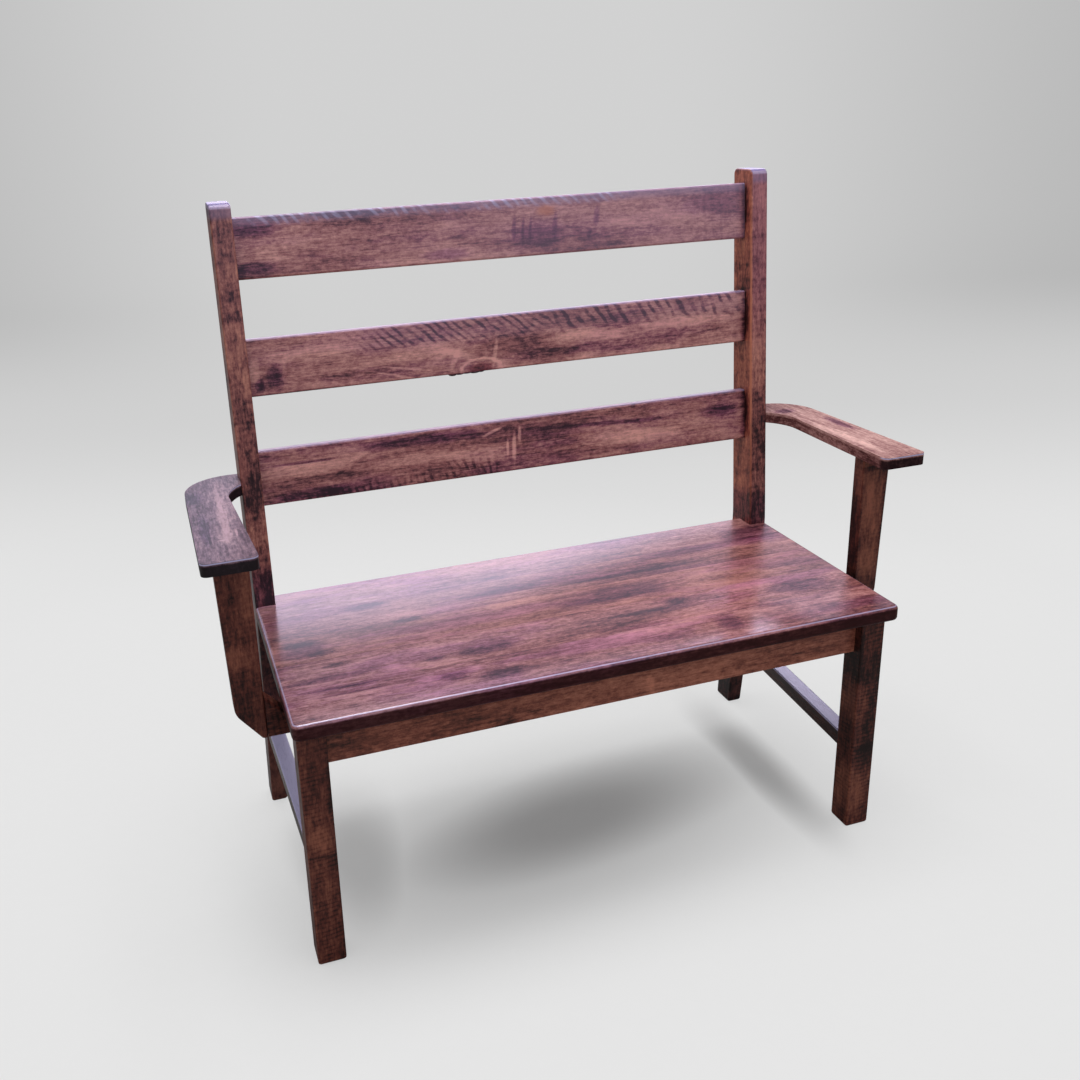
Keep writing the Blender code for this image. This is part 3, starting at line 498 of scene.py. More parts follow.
def ragged_spot():
    """Soft spot of radius 1 with an uneven rim, and the rim alone."""
    tree, given, result = new_group(
        "ragged_spot",
        (("Vector", "Vector", (0, 0, 0)), ("Softness", "Float", 0.6), ("Ragged", "Float", 0.5)),
        (("Spot", "Float"), ("Rim", "Float")))
    radius = put(tree, "VectorMath", {0: given["Vector"]}, operation="LENGTH").outputs["Value"]
    wobble = put(tree, "TexNoise", {
        "Vector": given["Vector"], "Scale": 2.4, "Detail": 7.0, "Roughness": 0.75})
    swing = maths(tree, "SUBTRACT", wobble.outputs["Fac"], 0.5)
    uneven = maths(tree, "MULTIPLY_ADD", swing, given["Ragged"], radius)
    start = maths(tree, "SUBTRACT", 1.0, given["Softness"])
    tree.links.new(remap(tree, uneven, start, 1.0, 1.0, 0.0), result["Spot"])
    away = maths(tree, "ABSOLUTE", maths(tree, "SUBTRACT", uneven, 0.8))
    tree.links.new(remap(tree, away, 0.0, 0.16, 1.0, 0.0), result["Rim"])
    return tree


def on_level(z):
    """Short form of marks on a level face: x, y and half the size along both."""
    return lambda x, y, wide, deep: ((x, y, z), (wide, deep, MARK_DEPTH))


def on_front(y):
    """Short form of marks on an upright face: x, z, half the size along both, and perhaps a lean."""
    return lambda x, z, wide, high, *lean: ((x, y, z), (wide, MARK_DEPTH, high), *lean)


class Stain:
    """One stained wood material while it is being made; lay reads marks in short form."""
    dark_end, light_end = 0.5, 1.35
    dark_stop, middle_stop, light_stop = 0.16, 0.43, 0.75
    cast_strength = 0.8
    spot_softness = 0.7
    grain_depth = 0.0003

    def __init__(self, name, direction, lay=None):
        self.lay = lay
        self.material = bpy.data.materials.new(name)
        self.material.use_nodes = True
        self.tree = self.material.node_tree
        self.shader = self.tree.nodes["Principled BSDF"]
        self.place = put(self.tree, "TexCoord").outputs["Object"]
        self.turned = put(self.tree, "Mapping", {"Vector": self.place, "Rotation": direction}).outputs[0]
        self.casts = []

    def grain(self, seed, cloud, dash=0.16):
        """Start the tone from the figure, with clouds and dashes of a given depth."""
        self.figure = use_group(self.tree, maple_figure, {"Vector": self.turned, "Seed": seed})
        self.tone = self.figure["Tone"]
        self.shift(self.figure["Dash"], -dash)
        self.shift(self.figure["Cloud"], -cloud)

    def ripples(self, spacing, slant):
        return use_group(self.tree, cross_ripple, {
            "Vector": self.turned, "Spacing": spacing, "Slant": slant})["Ripple"]

    def along(self, axis):
        return put(self.tree, "SeparateXYZ", {0: self.place}).outputs[axis]

    def step(self, axis, start, width):
        """How many widths a point lies from a start, along one axis."""
        return remap(self.tree, self.along(axis), start, start + width, soft=False, clamp=False)

    def steps(self, value, tints):
        """Tint that changes in equal steps as a value grows from 0 to 1."""
        ramp = put(self.tree, "ValToRGB", {0: value})
        ramp.color_ramp.interpolation = "CONSTANT"
        stops = ramp.color_ramp.elements
        stops[0].color = rgb(tints[0])
        stops[1].position = 1.0 - 1.0 / len(tints)
        stops[1].color = rgb(tints[-1])
        for number, tint in enumerate(tints[1:-1], 1):
            stops.new(number / len(tints)).color = rgb(tint)
        return ramp.outputs[0]

    def grow(self, value, low, high):
        """Mask that grows as a value goes from low to high; it falls if low is the greater."""
        if low < high:
            return remap(self.tree, value, low, high)
        return remap(self.tree, value, high, low, 1.0, 0.0)

    def rise(self, axis, low, high):
        return self.grow(self.along(axis), low, high)

    def both(self, first, second):
        return maths(self.tree, "MULTIPLY", first, second)

    def band(self, value, start, full, fade, end):
        """Mask that grows from start to full and falls again from fade to end."""
        return self.both(self.grow(value, start, full), self.grow(value, end, fade))

    def spot(self, centre, size, turned=(0.0, 0.0, 0.0), ragged=0.8, output="Spot"):
        near = put(self.tree, "Mapping", {
            "Vector": self.place, "Location": centre, "Rotation": turned, "Scale": size},
            vector_type="TEXTURE")
        return use_group(self.tree, ragged_spot, {
            "Vector": near.outputs[0], "Softness": self.spot_softness, "Ragged": ragged})[output]

    def shift(self, mask, amount):
        """Make the grain darker or lighter under a mask."""
        self.tone = maths(self.tree, "MULTIPLY_ADD", mask, amount, self.tone)

    def marks(self, amount, places, cast=None, ragged=1.3):
        """Ragged marks, each a centre, a size and perhaps a lean, with a cast of their own."""
        for mark in places:
            centre, size, *lean = self.lay(*mark) if self.lay else mark
            mask = self.spot(centre, size, (0.0, *(lean or [0.0]), 0.0), ragged)
            self.shift(mask, amount)
            if cast:
                self.casts.append((mask, cast))

    def tones(self, dark, middle, light, cast=None, on_light=1.0):
        """Colour the tone; a cast lies over parts of the wood, and on light grain by a given share."""
        if cast:
            mask = self.figure["Cast"]
            if on_light < 1.0:
                mask = self.both(mask, remap(self.tree, self.tone, 0.42, 0.62, 1.0, on_light))
            self.casts.append((mask, cast))
        ramp = put(self.tree, "ValToRGB", {0: self.tone})
        stops = ramp.color_ramp.elements
        stops[0].color = rgb([self.dark_end * part for part in dark])
        stops[1].color = rgb([min(1.0, self.light_end * part) for part in light])
        for position, tint in ((self.dark_stop, dark), (self.middle_stop, middle), (self.light_stop, light)):
            stops.new(position).color = rgb(tint)
        self.shade = ramp.outputs[0]
        for mask, cast in self.casts:
            self.over(mask, self.cast_strength, cast, "MULTIPLY")

    def over(self, mask, strength, tint, blend="MIX"):
        self.shade = mix(self.tree, self.both(mask, strength), self.shade, rgb(tint), blend)

    def sheen(self, weight, roughness):
        """Lacquer that lies thicker where a mask is greater."""
        self.tree.links.new(weight, self.shader.inputs["Coat Weight"])
        self.shader.inputs["Coat Roughness"].default_value = roughness
        self.shader.inputs["Coat IOR"].default_value = 1.65

    def finish(self, roughness, reflect):
        tree = self.tree
        tree.links.new(self.shade, self.shader.inputs["Base Color"])
        gloss = remap(
            tree, self.figure["Fibre"], 0.3, 0.7, roughness + 0.06, roughness - 0.04, soft=False)
        tree.links.new(gloss, self.shader.inputs["Roughness"])
        self.shader.inputs["IOR"].default_value = reflect
        bump = put(tree, "Bump", {
            "Strength": 0.35, "Distance": self.grain_depth, "Height": self.figure["Fibre"]})
        tree.links.new(bump.outputs[0], self.shader.inputs["Normal"])
        return self.material


# Finishes
def seat_finish(stains, sizes):
    z = sizes.seat_top
    wood = Stain("seat_maple", ALONG_X, on_level(z))
    across = wood.step("Y", sizes.seat_front, sizes.seat_depth / BOARDS)
    board_seed = wood.both(maths(wood.tree, "FLOOR", across), 3.7)
    wood.grain(board_seed, 0.12)
    wood.marks(0.20, (
        (0.130, -0.185, 0.130, 0.040), (-0.295, -0.204, 0.034, 0.014), (-0.221, -0.200, 0.018, 0.012),
        (-0.343, -0.148, 0.024, 0.009), (-0.410, -0.210, 0.060, 0.010), (-0.120, -0.010, 0.200, 0.018),
        (0.310, -0.100, 0.090, 0.030), (0.010, -0.200, 0.130, 0.034), (-0.130, -0.040, 0.150, 0.032),
        (-0.430, -0.172, 0.090, 0.003), (-0.400, -0.190, 0.090, 0.003), (-0.450, -0.159, 0.080, 0.003)))
    wood.marks(-0.24, (
        (-0.178, -0.147, 0.075, 0.020), (-0.272, -0.148, 0.024, 0.012), (-0.183, -0.232, 0.055, 0.022),
        (-0.262, -0.212, 0.040, 0.016), (-0.440, -0.148, 0.110, 0.014), (0.226, -0.214, 0.034, 0.034),
        (0.290, 0.082, 0.130, 0.022), (0.420, -0.130, 0.090, 0.040), (-0.336, 0.080, 0.055, 0.018),
        (-0.420, -0.181, 0.100, 0.004), (-0.410, -0.201, 0.090, 0.004), (-0.470, -0.045, 0.060, 0.040),
        # The first mark on this line is a painted dark reflection of the right post in the seat's rear corner
        (0.460, 0.110, 0.090, 0.050), (0.100, -0.040, 0.170, 0.040),
        (-0.083, 0.047, 0.130, 0.016)), stains.dusk)
    wood.marks(-0.36, (
        (0.180, -0.108, 0.026, 0.015), (0.110, -0.124, 0.095, 0.010), (-0.474, -0.020, 0.048, 0.016),
        (-0.440, -0.063, 0.034, 0.014), (-0.424, -0.109, 0.034, 0.010), (-0.277, 0.005, 0.040, 0.016),
        (0.140, 0.030, 0.180, 0.010)), ragged=1.6)
    seam = remap(wood.tree, maths(wood.tree, "PINGPONG", across, 0.5), 0.0, 0.014, 1.0, 0.0)
    wood.shift(seam, -0.18)
    # Painted shade: the seat's front and side faces are darkened below its top
    side = wood.rise("Z", z - 0.003, z - 0.007)
    wood.shift(side, -0.15)
    right = wood.rise("X", 0.20, 0.42)
    wood.shift(wood.both(right, wood.band(wood.along("Y"), -0.02, 0.02, 0.08, 0.10)), 0.12)
    wood.shift(wood.both(right, wood.rise("Y", -0.05, -0.09)), -0.07)
    # Painted sheen: the rear board is lightened towards the left
    wood.shift(wood.both(wood.rise("Y", 0.09, 0.15), wood.rise("X", 0.28, 0.00)), 0.32)
    wood.tones(stains.seat_dark, stains.seat_middle, stains.seat_light, stains.dusk)
    tints = (stains.board_1, stains.board_2, stains.board_3, stains.board_4, stains.board_5)
    tint = wood.steps(maths(wood.tree, "DIVIDE", across, BOARDS), tints)
    wood.shade = mix(wood.tree, 1.0, wood.shade, tint, "MULTIPLY")
    # Painted sheen: a bluish tint on the left end and a mauve spot on the front right
    wood.over(wood.rise("X", 0.25, -0.45), 0.9, stains.violet, "MULTIPLY")
    wood.over(wood.spot((0.370, -0.200, z), (0.130, 0.050, 0.05)), 0.12, stains.slat_veil)
    # Painted shade over the front and side faces
    wood.over(side, 0.76, stains.seat_side)
    aslant = put(wood.tree, "Mapping", {"Vector": wood.place, "Rotation": (0.0, 0.0, 1.19)})
    leftward = put(wood.tree, "SeparateXYZ", {0: aslant.outputs[0]}).outputs["X"]
    rear = wood.both(wood.rise("Y", -0.12, 0.12), wood.grow(leftward, 0.05, -0.13))
    front = wood.both(wood.rise("Y", -0.08, -0.18), wood.rise("X", 0.42, 0.15))
    lacquer = maths(
        wood.tree, "MULTIPLY_ADD", rear, stains.lacquer_rear, wood.both(front, stains.lacquer_front))
    wood.sheen(wood.both(lacquer, wood.rise("Z", z - 0.006, z - 0.002)), 0.16)
    # Painted highlight along the rounded upper edge
    rim = wood.band(wood.along("Z"), z - 0.0022, z - 0.0014, z - 0.0008, z - 0.0003)
    wood.over(rim, 0.48, stains.rim)
    return wood.finish(roughness=0.36, reflect=1.2)


def slat_tones(wood, stains):
    """Shades that all slats share, with painted shade where they meet the right post."""
    # Painted shade: the slats are darkened where they meet the right post
    wood.shift(wood.rise("X", 0.474, 0.486), -0.40)
    wood.tones(stains.slat_dark, stains.slat_middle, stains.slat_light, stains.dusk, on_light=0.35)


def top_slat_finish(stains):
    y = TOP_SLAT_FACE
    wood = Stain("top_slat_maple", ALONG_X, on_front(y))
    wood.grain(7.0, 0.14)
    wood.marks(0.14, (
        (-0.390, 1.084, 0.090, 0.022), (0.300, 1.075, 0.140, 0.030), (-0.060, 1.095, 0.110, 0.022),
        (-0.400, 1.058, 0.070, 0.006)))
    wood.marks(-0.20, (
        (-0.455, 1.048, 0.060, 0.016), (-0.455, 1.112, 0.060, 0.016), (-0.115, 1.047, 0.060, 0.014),
        (0.060, 1.068, 0.070, 0.030), (0.420, 1.100, 0.090, 0.030)), stains.dusk)
    wood.marks(-0.17, (
        (0.013, 1.084, 0.006, 0.026, 0.10), (0.030, 1.080, 0.004, 0.030, 0.10),
        (0.044, 1.078, 0.004, 0.030, 0.10), (0.092, 1.080, 0.007, 0.034, 0.10),
        (0.175, 1.094, 0.008, 0.024, 0.15), (0.160, 1.064, 0.005, 0.014, 0.30)), stains.dusk)
    wood.shift(wood.both(wood.ripples(0.017, 0.05), wood.rise("X", 0.34, 0.42)), -0.10)
    # Painted sheen along the upper edge: the band is darkened, then given a bluish sheen and highlight dashes
    # below
    edge = wood.rise("Z", 1.114, 1.130)
    wood.shift(edge, -0.12)
    slat_tones(wood, stains)
    # Painted sheen: a mauve veil towards the left
    wood.over(wood.rise("X", -0.35, 0.10), 0.22, stains.slat_veil)
    wood.over(wood.spot((0.076, y, 1.110), (0.026, 0.05, 0.014)), 0.55, stains.glow)
    wood.over(edge, 0.40, stains.frost)
    # Painted highlight dashes across the upper edge
    dashes = wood.both(wood.ripples(0.019, 0.85), wood.rise("X", 0.26, 0.18))
    wood.over(wood.both(edge, dashes), 0.52, stains.rim)
    return wood.finish(roughness=0.34, reflect=1.42)


def middle_slat_finish(stains):
    y = MIDDLE_SLAT_FACE
    wood = Stain("middle_slat_maple", ALONG_X, on_front(y))
    wood.grain(5.0, 0.14)
    wood.marks(0.28, (
        (-0.350, 0.898, 0.150, 0.016), (0.160, 0.880, 0.110, 0.014, 0.12), (0.350, 0.882, 0.170, 0.015),
        (-0.476, 0.873, 0.014, 0.030), (-0.110, 0.868, 0.050, 0.010, 0.30),
        (-0.200, 0.850, 0.070, 0.003, 0.18), (-0.230, 0.842, 0.060, 0.003, 0.26)))
    wood.shift(wood.rise("X", -0.45, 0.20), 0.15)
    wood.marks(-0.24, (
        (0.200, 0.852, 0.200, 0.018), (-0.300, 0.852, 0.110, 0.012), (0.000, 0.874, 0.130, 0.030),
        (0.060, 0.850, 0.110, 0.020)))
    wood.marks(-0.30, ((-0.440, 0.862, 0.020, 0.030), (-0.468, 0.850, 0.012, 0.016)), stains.dusk)
    upper = wood.both(wood.rise("Z", 0.880, 0.902), wood.rise("X", -0.36, -0.20))
    wood.shift(upper, -0.06)
    left = wood.both(wood.ripples(0.0185, 1.10), wood.rise("X", 0.12, 0.04))
    right = wood.both(wood.ripples(0.0220, 0.60), wood.rise("X", 0.04, 0.12))
    stripes = wood.both(upper, maths(wood.tree, "MAXIMUM", left, right))
    wood.shift(stripes, -0.46)
    wood.casts.append((wood.both(upper, wood.figure["Cloud"]), stains.dusk))
    wood.marks(-0.30, ((-0.064, 0.838, 0.034, 0.012),), stains.ember)
    knot = wood.spot((-0.064, y, 0.836), (0.048, 0.05, 0.024), ragged=0.5, output="Rim")
    wood.shift(knot, 0.38)
    wood.marks(0.34, ((-0.114, 0.858, 0.007, 0.030, 0.45), (-0.036, 0.864, 0.006, 0.032, 0.20)), ragged=0.7)
    wood.shift(wood.rise("Z", 0.833, 0.829), -0.9)
    slat_tones(wood, stains)
    # Painted sheen: a mauve veil on the upper part and a bluish sheen along the upper edge
    wood.over(upper, 0.16, stains.slat_veil)
    wood.over(wood.rise("Z", 0.9265, 0.9300), 0.5, stains.frost)
    return wood.finish(roughness=0.34, reflect=1.42)


def lower_slat_finish(stains):
    y = LOWER_SLAT_FACE
    wood = Stain("lower_slat_maple", ALONG_X, on_front(y))
    wood.grain(3.0, 0.18)
    wood.marks(0.30, (
        (-0.400, 0.690, 0.120, 0.018), (-0.200, 0.682, 0.150, 0.016), (0.245, 0.670, 0.150, 0.018),
        (-0.080, 0.676, 0.090, 0.022)))
    wood.marks(-0.30, (
        (-0.180, 0.716, 0.170, 0.014), (0.430, 0.698, 0.060, 0.018), (-0.390, 0.646, 0.100, 0.014),
        (0.200, 0.702, 0.170, 0.006, 0.04), (-0.410, 0.704, 0.090, 0.004)), stains.dusk)
    curly = wood.spot((-0.090, y, 0.660), (0.090, 0.05, 0.026))
    wood.shift(wood.both(curly, wood.ripples(0.016, 0.25)), -0.30)
    ragged_foot = wood.both(wood.rise("Z", 0.664, 0.640), wood.ripples(0.013, 0.2))
    wood.shift(wood.both(ragged_foot, wood.rise("X", 0.02, -0.08)), -0.24)
    wood.marks(0.50, (
        (-0.009, 0.680, 0.0060, 0.040, 0.05), (0.003, 0.704, 0.005, 0.020, 0.05),
        (-0.022, 0.680, 0.004, 0.022, 0.05), (-0.050, 0.715, 0.030, 0.004, -0.35)), ragged=0.7)
    slat_tones(wood, stains)
    # Painted sheen along the upper edge
    wood.over(wood.rise("Z", 0.7300, 0.7335), 0.4, stains.frost)
    return wood.finish(roughness=0.34, reflect=1.42)


def post_finish(stains, sizes, name, side):
    wood = Stain(name, ALONG_Z)
    wood.grain(11.0 + side, 0.10, 0.05)
    wood.shift(wood.ripples(0.012, 0.15), -0.07)
    wood.shift(wood.ripples(0.047, 0.25), -0.12)
    slat_back = sizes.slat_setback + sizes.slat_thickness / 2
    # Painted shadow on the post's inner face round the end of each slat
    for z in SLAT_MIDDLES:
        painted_shadow_at_slat = (side * sizes.post_in, post_front(sizes, z) + slat_back, z)
        wood.marks(-0.55, ((painted_shadow_at_slat, (0.010, 0.030, 0.070)),), ragged=0.5)
    knee = wood.band(wood.along("Z"), 0.44, 0.46, 0.50, 0.54)
    wood.shift(knee, -0.24)
    wood.casts.append((knee, stains.dusk))
    wood.shift(wood.rise("Z", 0.80, 1.10), 0.10)
    if side > 0:
        wood.casts.append((wood.rise("X", sizes.post_in + 0.005, sizes.post_in + 0.002), stains.ember))
        front = wood.rise("X", sizes.post_in + 0.002, sizes.post_in + 0.006)
        wood.casts.append((wood.both(front, wood.rise("Z", 0.76, 0.95)), stains.dusk))
        wood.shift(wood.both(front, wood.rise("Z", 0.82, 0.70)), -0.12)
    else:
        middle = -(sizes.post_in + sizes.post_out) / 2
        for amount, z, wide, high in ((-0.22, 0.660, 0.034, 0.048), (0.14, 0.590, 0.030, 0.030),
                                      (-0.16, 1.005, 0.034, 0.012), (-0.16, 0.970, 0.034, 0.012)):
            wood.marks(amount, (((middle, post_front(sizes, z), z), (wide, 0.03, high)),))
    wood.tones(stains.post_dark, stains.post_middle, stains.post_light)
    # Painted light on the rounded top: bluish reflection and shade, a bluish sheen, a highlight line and a
    # darkened top face
    cap = wood.rise("Z", 1.130, 1.142)
    rim = wood.rise("Z", 1.150, 1.153)
    if side > 0:
        cap, rim = wood.both(cap, front), wood.both(rim, front)
    wood.over(cap, 0.8, stains.cap, "MULTIPLY")
    wood.over(cap, 0.22, stains.frost)
    wood.over(rim, 0.36, stains.rim)
    wood.over(wood.rise("Z", 1.1555, 1.158), 0.7, stains.cap, "MULTIPLY")
    if side > 0:
        arris = (sizes.post_in, post_front(sizes, 0.80), 0.80)
        wood.over(wood.spot(arris, (0.0045, 0.006, 0.42), (-post_rake(sizes), 0.0, 0.0)), 0.75, stains.glow)
    # Painted shade below the seat
    wood.over(wood.rise("Z", 0.455, 0.40), 0.9, stains.shade, "MULTIPLY")
    return wood.finish(roughness=0.34, reflect=1.38)


def leg_finish(stains, name, grain, seed, curl=0.18, painted_seat_shade=0.0, pale=(), dark=()):
    """Dark curly wood, with painted shade that darkens it towards the seat by a given depth."""
    wood = Stain(name, grain)
    wood.grain(seed, 0.12, 0.04)
    wood.shift(wood.ripples(0.008, 0.10), -curl)
    # Painted shade towards the seat
    if painted_seat_shade:
        wood.shift(wood.rise("Z", 0.22, 0.34), -painted_seat_shade)
    wood.marks(0.26, pale)
    wood.marks(-0.28, dark)
    wood.tones(stains.leg_dark, stains.leg_middle, stains.leg_light)
    return wood.finish(roughness=0.36, reflect=1.3)


def stretcher_finish(stains, sizes, front, climb):
    """Leg wood with painted bluish sheen and highlights on the upper face, which climbs to the rear, and
    painted shade on the sides.
    """
    wood = Stain("stretcher_maple", ALONG_Y)
    wood.grain(23.0, 0.45)
    wood.tones(stains.leg_dark, stains.leg_middle, stains.leg_light)
    start = put(wood.tree, "Mapping", {
        "Vector": wood.place, "Location": (0.0, -front, -sizes.stretcher_top)})
    level = put(wood.tree, "Mapping", {"Vector": start.outputs[0], "Rotation": (-climb, 0.0, 0.0)})
    height = put(wood.tree, "SeparateXYZ", {0: level.outputs[0]}).outputs["Z"]
    top = wood.grow(height, -0.0022, -0.0006)
    # Painted shade on the sides, painted sheen and highlights on the upper face and its edges, more on the
    # left
    wood.over(wood.grow(height, -0.004, -0.007), 0.55, stains.arm_side)
    wood.over(top, 0.60, stains.frost)
    wood.over(top, 0.60, stains.rim)
    wood.over(wood.both(top, wood.rise("X", 0.1, -0.1)), 0.8, stains.rim)
    wood.over(wood.band(height, -0.004, -0.002, -0.0012, -0.0004), 0.8, stains.rim)
    return wood.finish(roughness=0.28, reflect=1.5)


def apron_finish(stains, name, grain, seed, painted_shade_under_seat=False):
    """Lighter wood under the seat, with painted shade along its upper part; an apron out of sight under the
    seat gets painted shade all over.
    """
    wood = Stain(name, grain, on_front(APRON_FACE))
    wood.grain(seed, 0.35)
    # Lighter towards the right end
    wood.shift(wood.rise("X", -0.45, 0.45), 0.24)
    # Painted shade under the seat's front edge darkens the upper part
    wood.shift(wood.rise("Z", 0.34, 0.41), -0.12)
    wood.marks(0.26, ((0.073, 0.378, 0.012, 0.026),))
    wood.tones(stains.apron_dark, stains.apron_middle, stains.apron_light)
    if painted_shade_under_seat:
        # Painted shade over an apron under the seat
        wood.over(wood.rise("Z", 0.455, 0.40), 0.9, stains.shade, "MULTIPLY")
    return wood.finish(roughness=0.38, reflect=1.35)


def arm_finish(stains, sizes, name, seed, shades, pale, dark, lines, reflect, front_only=False):
    """Arm wood whose ends and edges are darkened, partly end-grain stain and partly painted shade, with a
    painted highlight along the upper edge and light, dark and fine light marks on top.
    """
    wood = Stain(name, ALONG_Y, on_level(ARM_LEVEL))
    wood.grain(seed, 0.14)
    wood.marks(0.34, pale)
    wood.marks(-0.28, dark, stains.dusk)
    wood.marks(0.55, lines, ragged=0.5)
    parts = put(wood.tree, "SeparateXYZ", {0: wood.place}).outputs
    height = maths(wood.tree, "MULTIPLY_ADD", parts["Y"], sizes.arm_slope, parts["Z"])
    top = arm_top(sizes, 0.0)
    # Painted shade, partly end-grain stain: the ends and edges are darkened below the top
    side = wood.grow(height, top - 0.003, top - 0.007)
    wood.shift(side, -0.36)
    wood.tones(*shades)
    # Painted highlight along the rounded upper edge
    rim = wood.band(height, top - 0.0032, top - 0.0022, top - 0.0008, top - 0.0003)
    if front_only:
        end = wood.rise("Y", sizes.arm_front + 0.018, sizes.arm_front + 0.008)
        side, rim = wood.both(side, end), wood.both(rim, end)
    wood.over(side, 0.85, stains.arm_side)
    wood.over(rim, 0.9, stains.rim)
    return wood.finish(roughness=0.42, reflect=reflect)


def left_arm_finish(stains, sizes):
    shades = (stains.left_arm_dark, stains.left_arm_middle, stains.left_arm_light)
    pale = ((-0.568, 0.020, 0.012, 0.130), (-0.570, -0.080, 0.016, 0.050))
    dark = ((-0.608, 0.120, 0.024, 0.040), (-0.600, -0.040, 0.012, 0.090))
    lines = ((-0.578, -0.096, 0.012, 0.003), (-0.555, -0.071, 0.003, 0.022))
    return arm_finish(stains, sizes, "left_arm_maple", 30.0, shades, pale, dark, lines, 1.28)


def right_arm_finish(stains, sizes):
    shades = (stains.right_arm_dark, stains.right_arm_middle, stains.right_arm_light)
    pale = ((0.560, -0.050, 0.016, 0.140),)
    dark = ((0.602, 0.040, 0.014, 0.060), (0.560, 0.160, 0.030, 0.020))
    return arm_finish(stains, sizes, "right_arm_maple", 32.0, shades, pale, dark, (), 1.06, front_only=True)


def bare_finish(stains):
    wood = Stain("bare_maple", ALONG_Z)
    wood.grain(9.0, 0.1)
    middle = [(a + b) / 2 for a, b in zip(stains.bare_wood, stains.bare_grain)]
    wood.tones(stains.bare_grain, middle, stains.bare_wood)
    return wood.finish(roughness=0.6, reflect=1.5)


def zinc_finish(stains):
    material = bpy.data.materials.new("zinc_plate")
    material.use_nodes = True
    tree = material.node_tree
    shader = tree.nodes["Principled BSDF"]
    place = put(tree, "TexCoord").outputs["Object"]
    dull = noise(tree, place, (900.0, 900.0, 900.0), 3.0)
    ramp = put(tree, "ValToRGB", {0: dull})
    ramp.color_ramp.elements[0].color = rgb([0.75 * c for c in stains.zinc])
    ramp.color_ramp.elements[1].color = rgb(stains.zinc)
    tree.links.new(ramp.outputs[0], shader.inputs["Base Color"])
    tree.links.new(remap(tree, dull, 0.3, 0.7, 0.28, 0.5), shader.inputs["Roughness"])
    shader.inputs["Metallic"].default_value = 1.0
    return material


# Operators, one for each piece or pair of pieces
class BENCH_OT_seat(bpy.types.Operator):
    """Glued-up seat with eased edges, notched round the back posts"""
    bl_idname = "bench.seat"
    bl_label = "Seat"

    def execute(self, context):
        sizes = context.scene.bench_sizes
        rear = sizes.seat_front + sizes.seat_depth
        notch_x = sizes.post_in - sizes.gap
        notch_y = post_front(sizes, sizes.seat_top) - sizes.gap
        right = [
            (sizes.seat_half, sizes.seat_front), (sizes.seat_half, notch_y),
            (notch_x, notch_y), (notch_x, rear)]
        left = [(-x, y) for x, y in reversed(right)]
        bm, corners = slab([(x, y, sizes.seat_top) for x, y in right + left])
        for corner in (corners[0], corners[-1]):
            fillet(bm, corner, sizes.seat_corner, 6)
        thicken(bm, (0, 0, -sizes.seat_thickness))

        def in_notch(point):
            return abs(point.x) > notch_x - sizes.gap and point.y > notch_y - sizes.gap

        ease(bm, sharp_edges(bm, in_notch), sizes.seat_edge)
        nodes = [f"seat_board_{number}" for number in range(1, BOARDS + 1)]
        add_piece("seat_top", bm, seat_finish(context.scene.bench_stains, sizes), nodes)
        return {"FINISHED"}


class BENCH_OT_slats(bpy.types.Operator):
    """Three flat back slats, square to the raked posts"""
    bl_idname = "bench.slats"
    bl_label = "Back slats"

    def place(self, sizes, middle):
        rake = post_rake(sizes)
        front = post_front(sizes, middle) + sizes.slat_setback / math.cos(rake)
        return Matrix.Translation((0, front, middle)) @ Matrix.Rotation(-rake, 4, "X")

    def bark(self, bm, sizes, bottom):
        """Lumps of bark left along the lower edge."""
        inset, lift, depth = 0.004, 0.0005, 0.007
        for x, width, drop in ((-0.118, 0.009, 0.0045), (-0.105, 0.010, 0.0035), (-0.091, 0.010, 0.0028),
                               (-0.076, 0.011, 0.0036), (-0.064, 0.007, 0.0026)):
            place = self.place(sizes, bottom) @ Matrix.Translation((x, sizes.slat_edge + inset, lift))
            shape = Matrix.Diagonal((width, depth, drop, 1.0))
            bmesh.ops.create_icosphere(bm, subdivisions=3, radius=1.0, matrix=place @ shape)

    def execute(self, context):
        sizes = context.scene.bench_sizes
        lower = sizes.seat_top + sizes.slat_rise
        middle = lower + sizes.slat_height + sizes.lower_gap
        top = middle + sizes.slat_height + sizes.upper_gap
        rows = (("lower_slat", lower, sizes.slat_height, lower_slat_finish),
                ("middle_slat", middle, sizes.slat_height, middle_slat_finish),
                ("top_slat", top, sizes.top_slat_height, top_slat_finish))
        reach = sizes.post_in - sizes.gap
        for node, bottom, height, finish in rows:
            low = (-reach, 0.0, -height / 2)
            high = (reach, sizes.slat_thickness, height / 2)
            bm = block(low, high, self.place(sizes, bottom + height / 2))
            ease(bm, long_edges(bm, 0, reach), sizes.slat_edge, 5)
            if node == "middle_slat":
                self.bark(bm, sizes, bottom)
            add_piece(node + "_board", bm, finish(context.scene.bench_stains), [node])
        return {"FINISHED"}


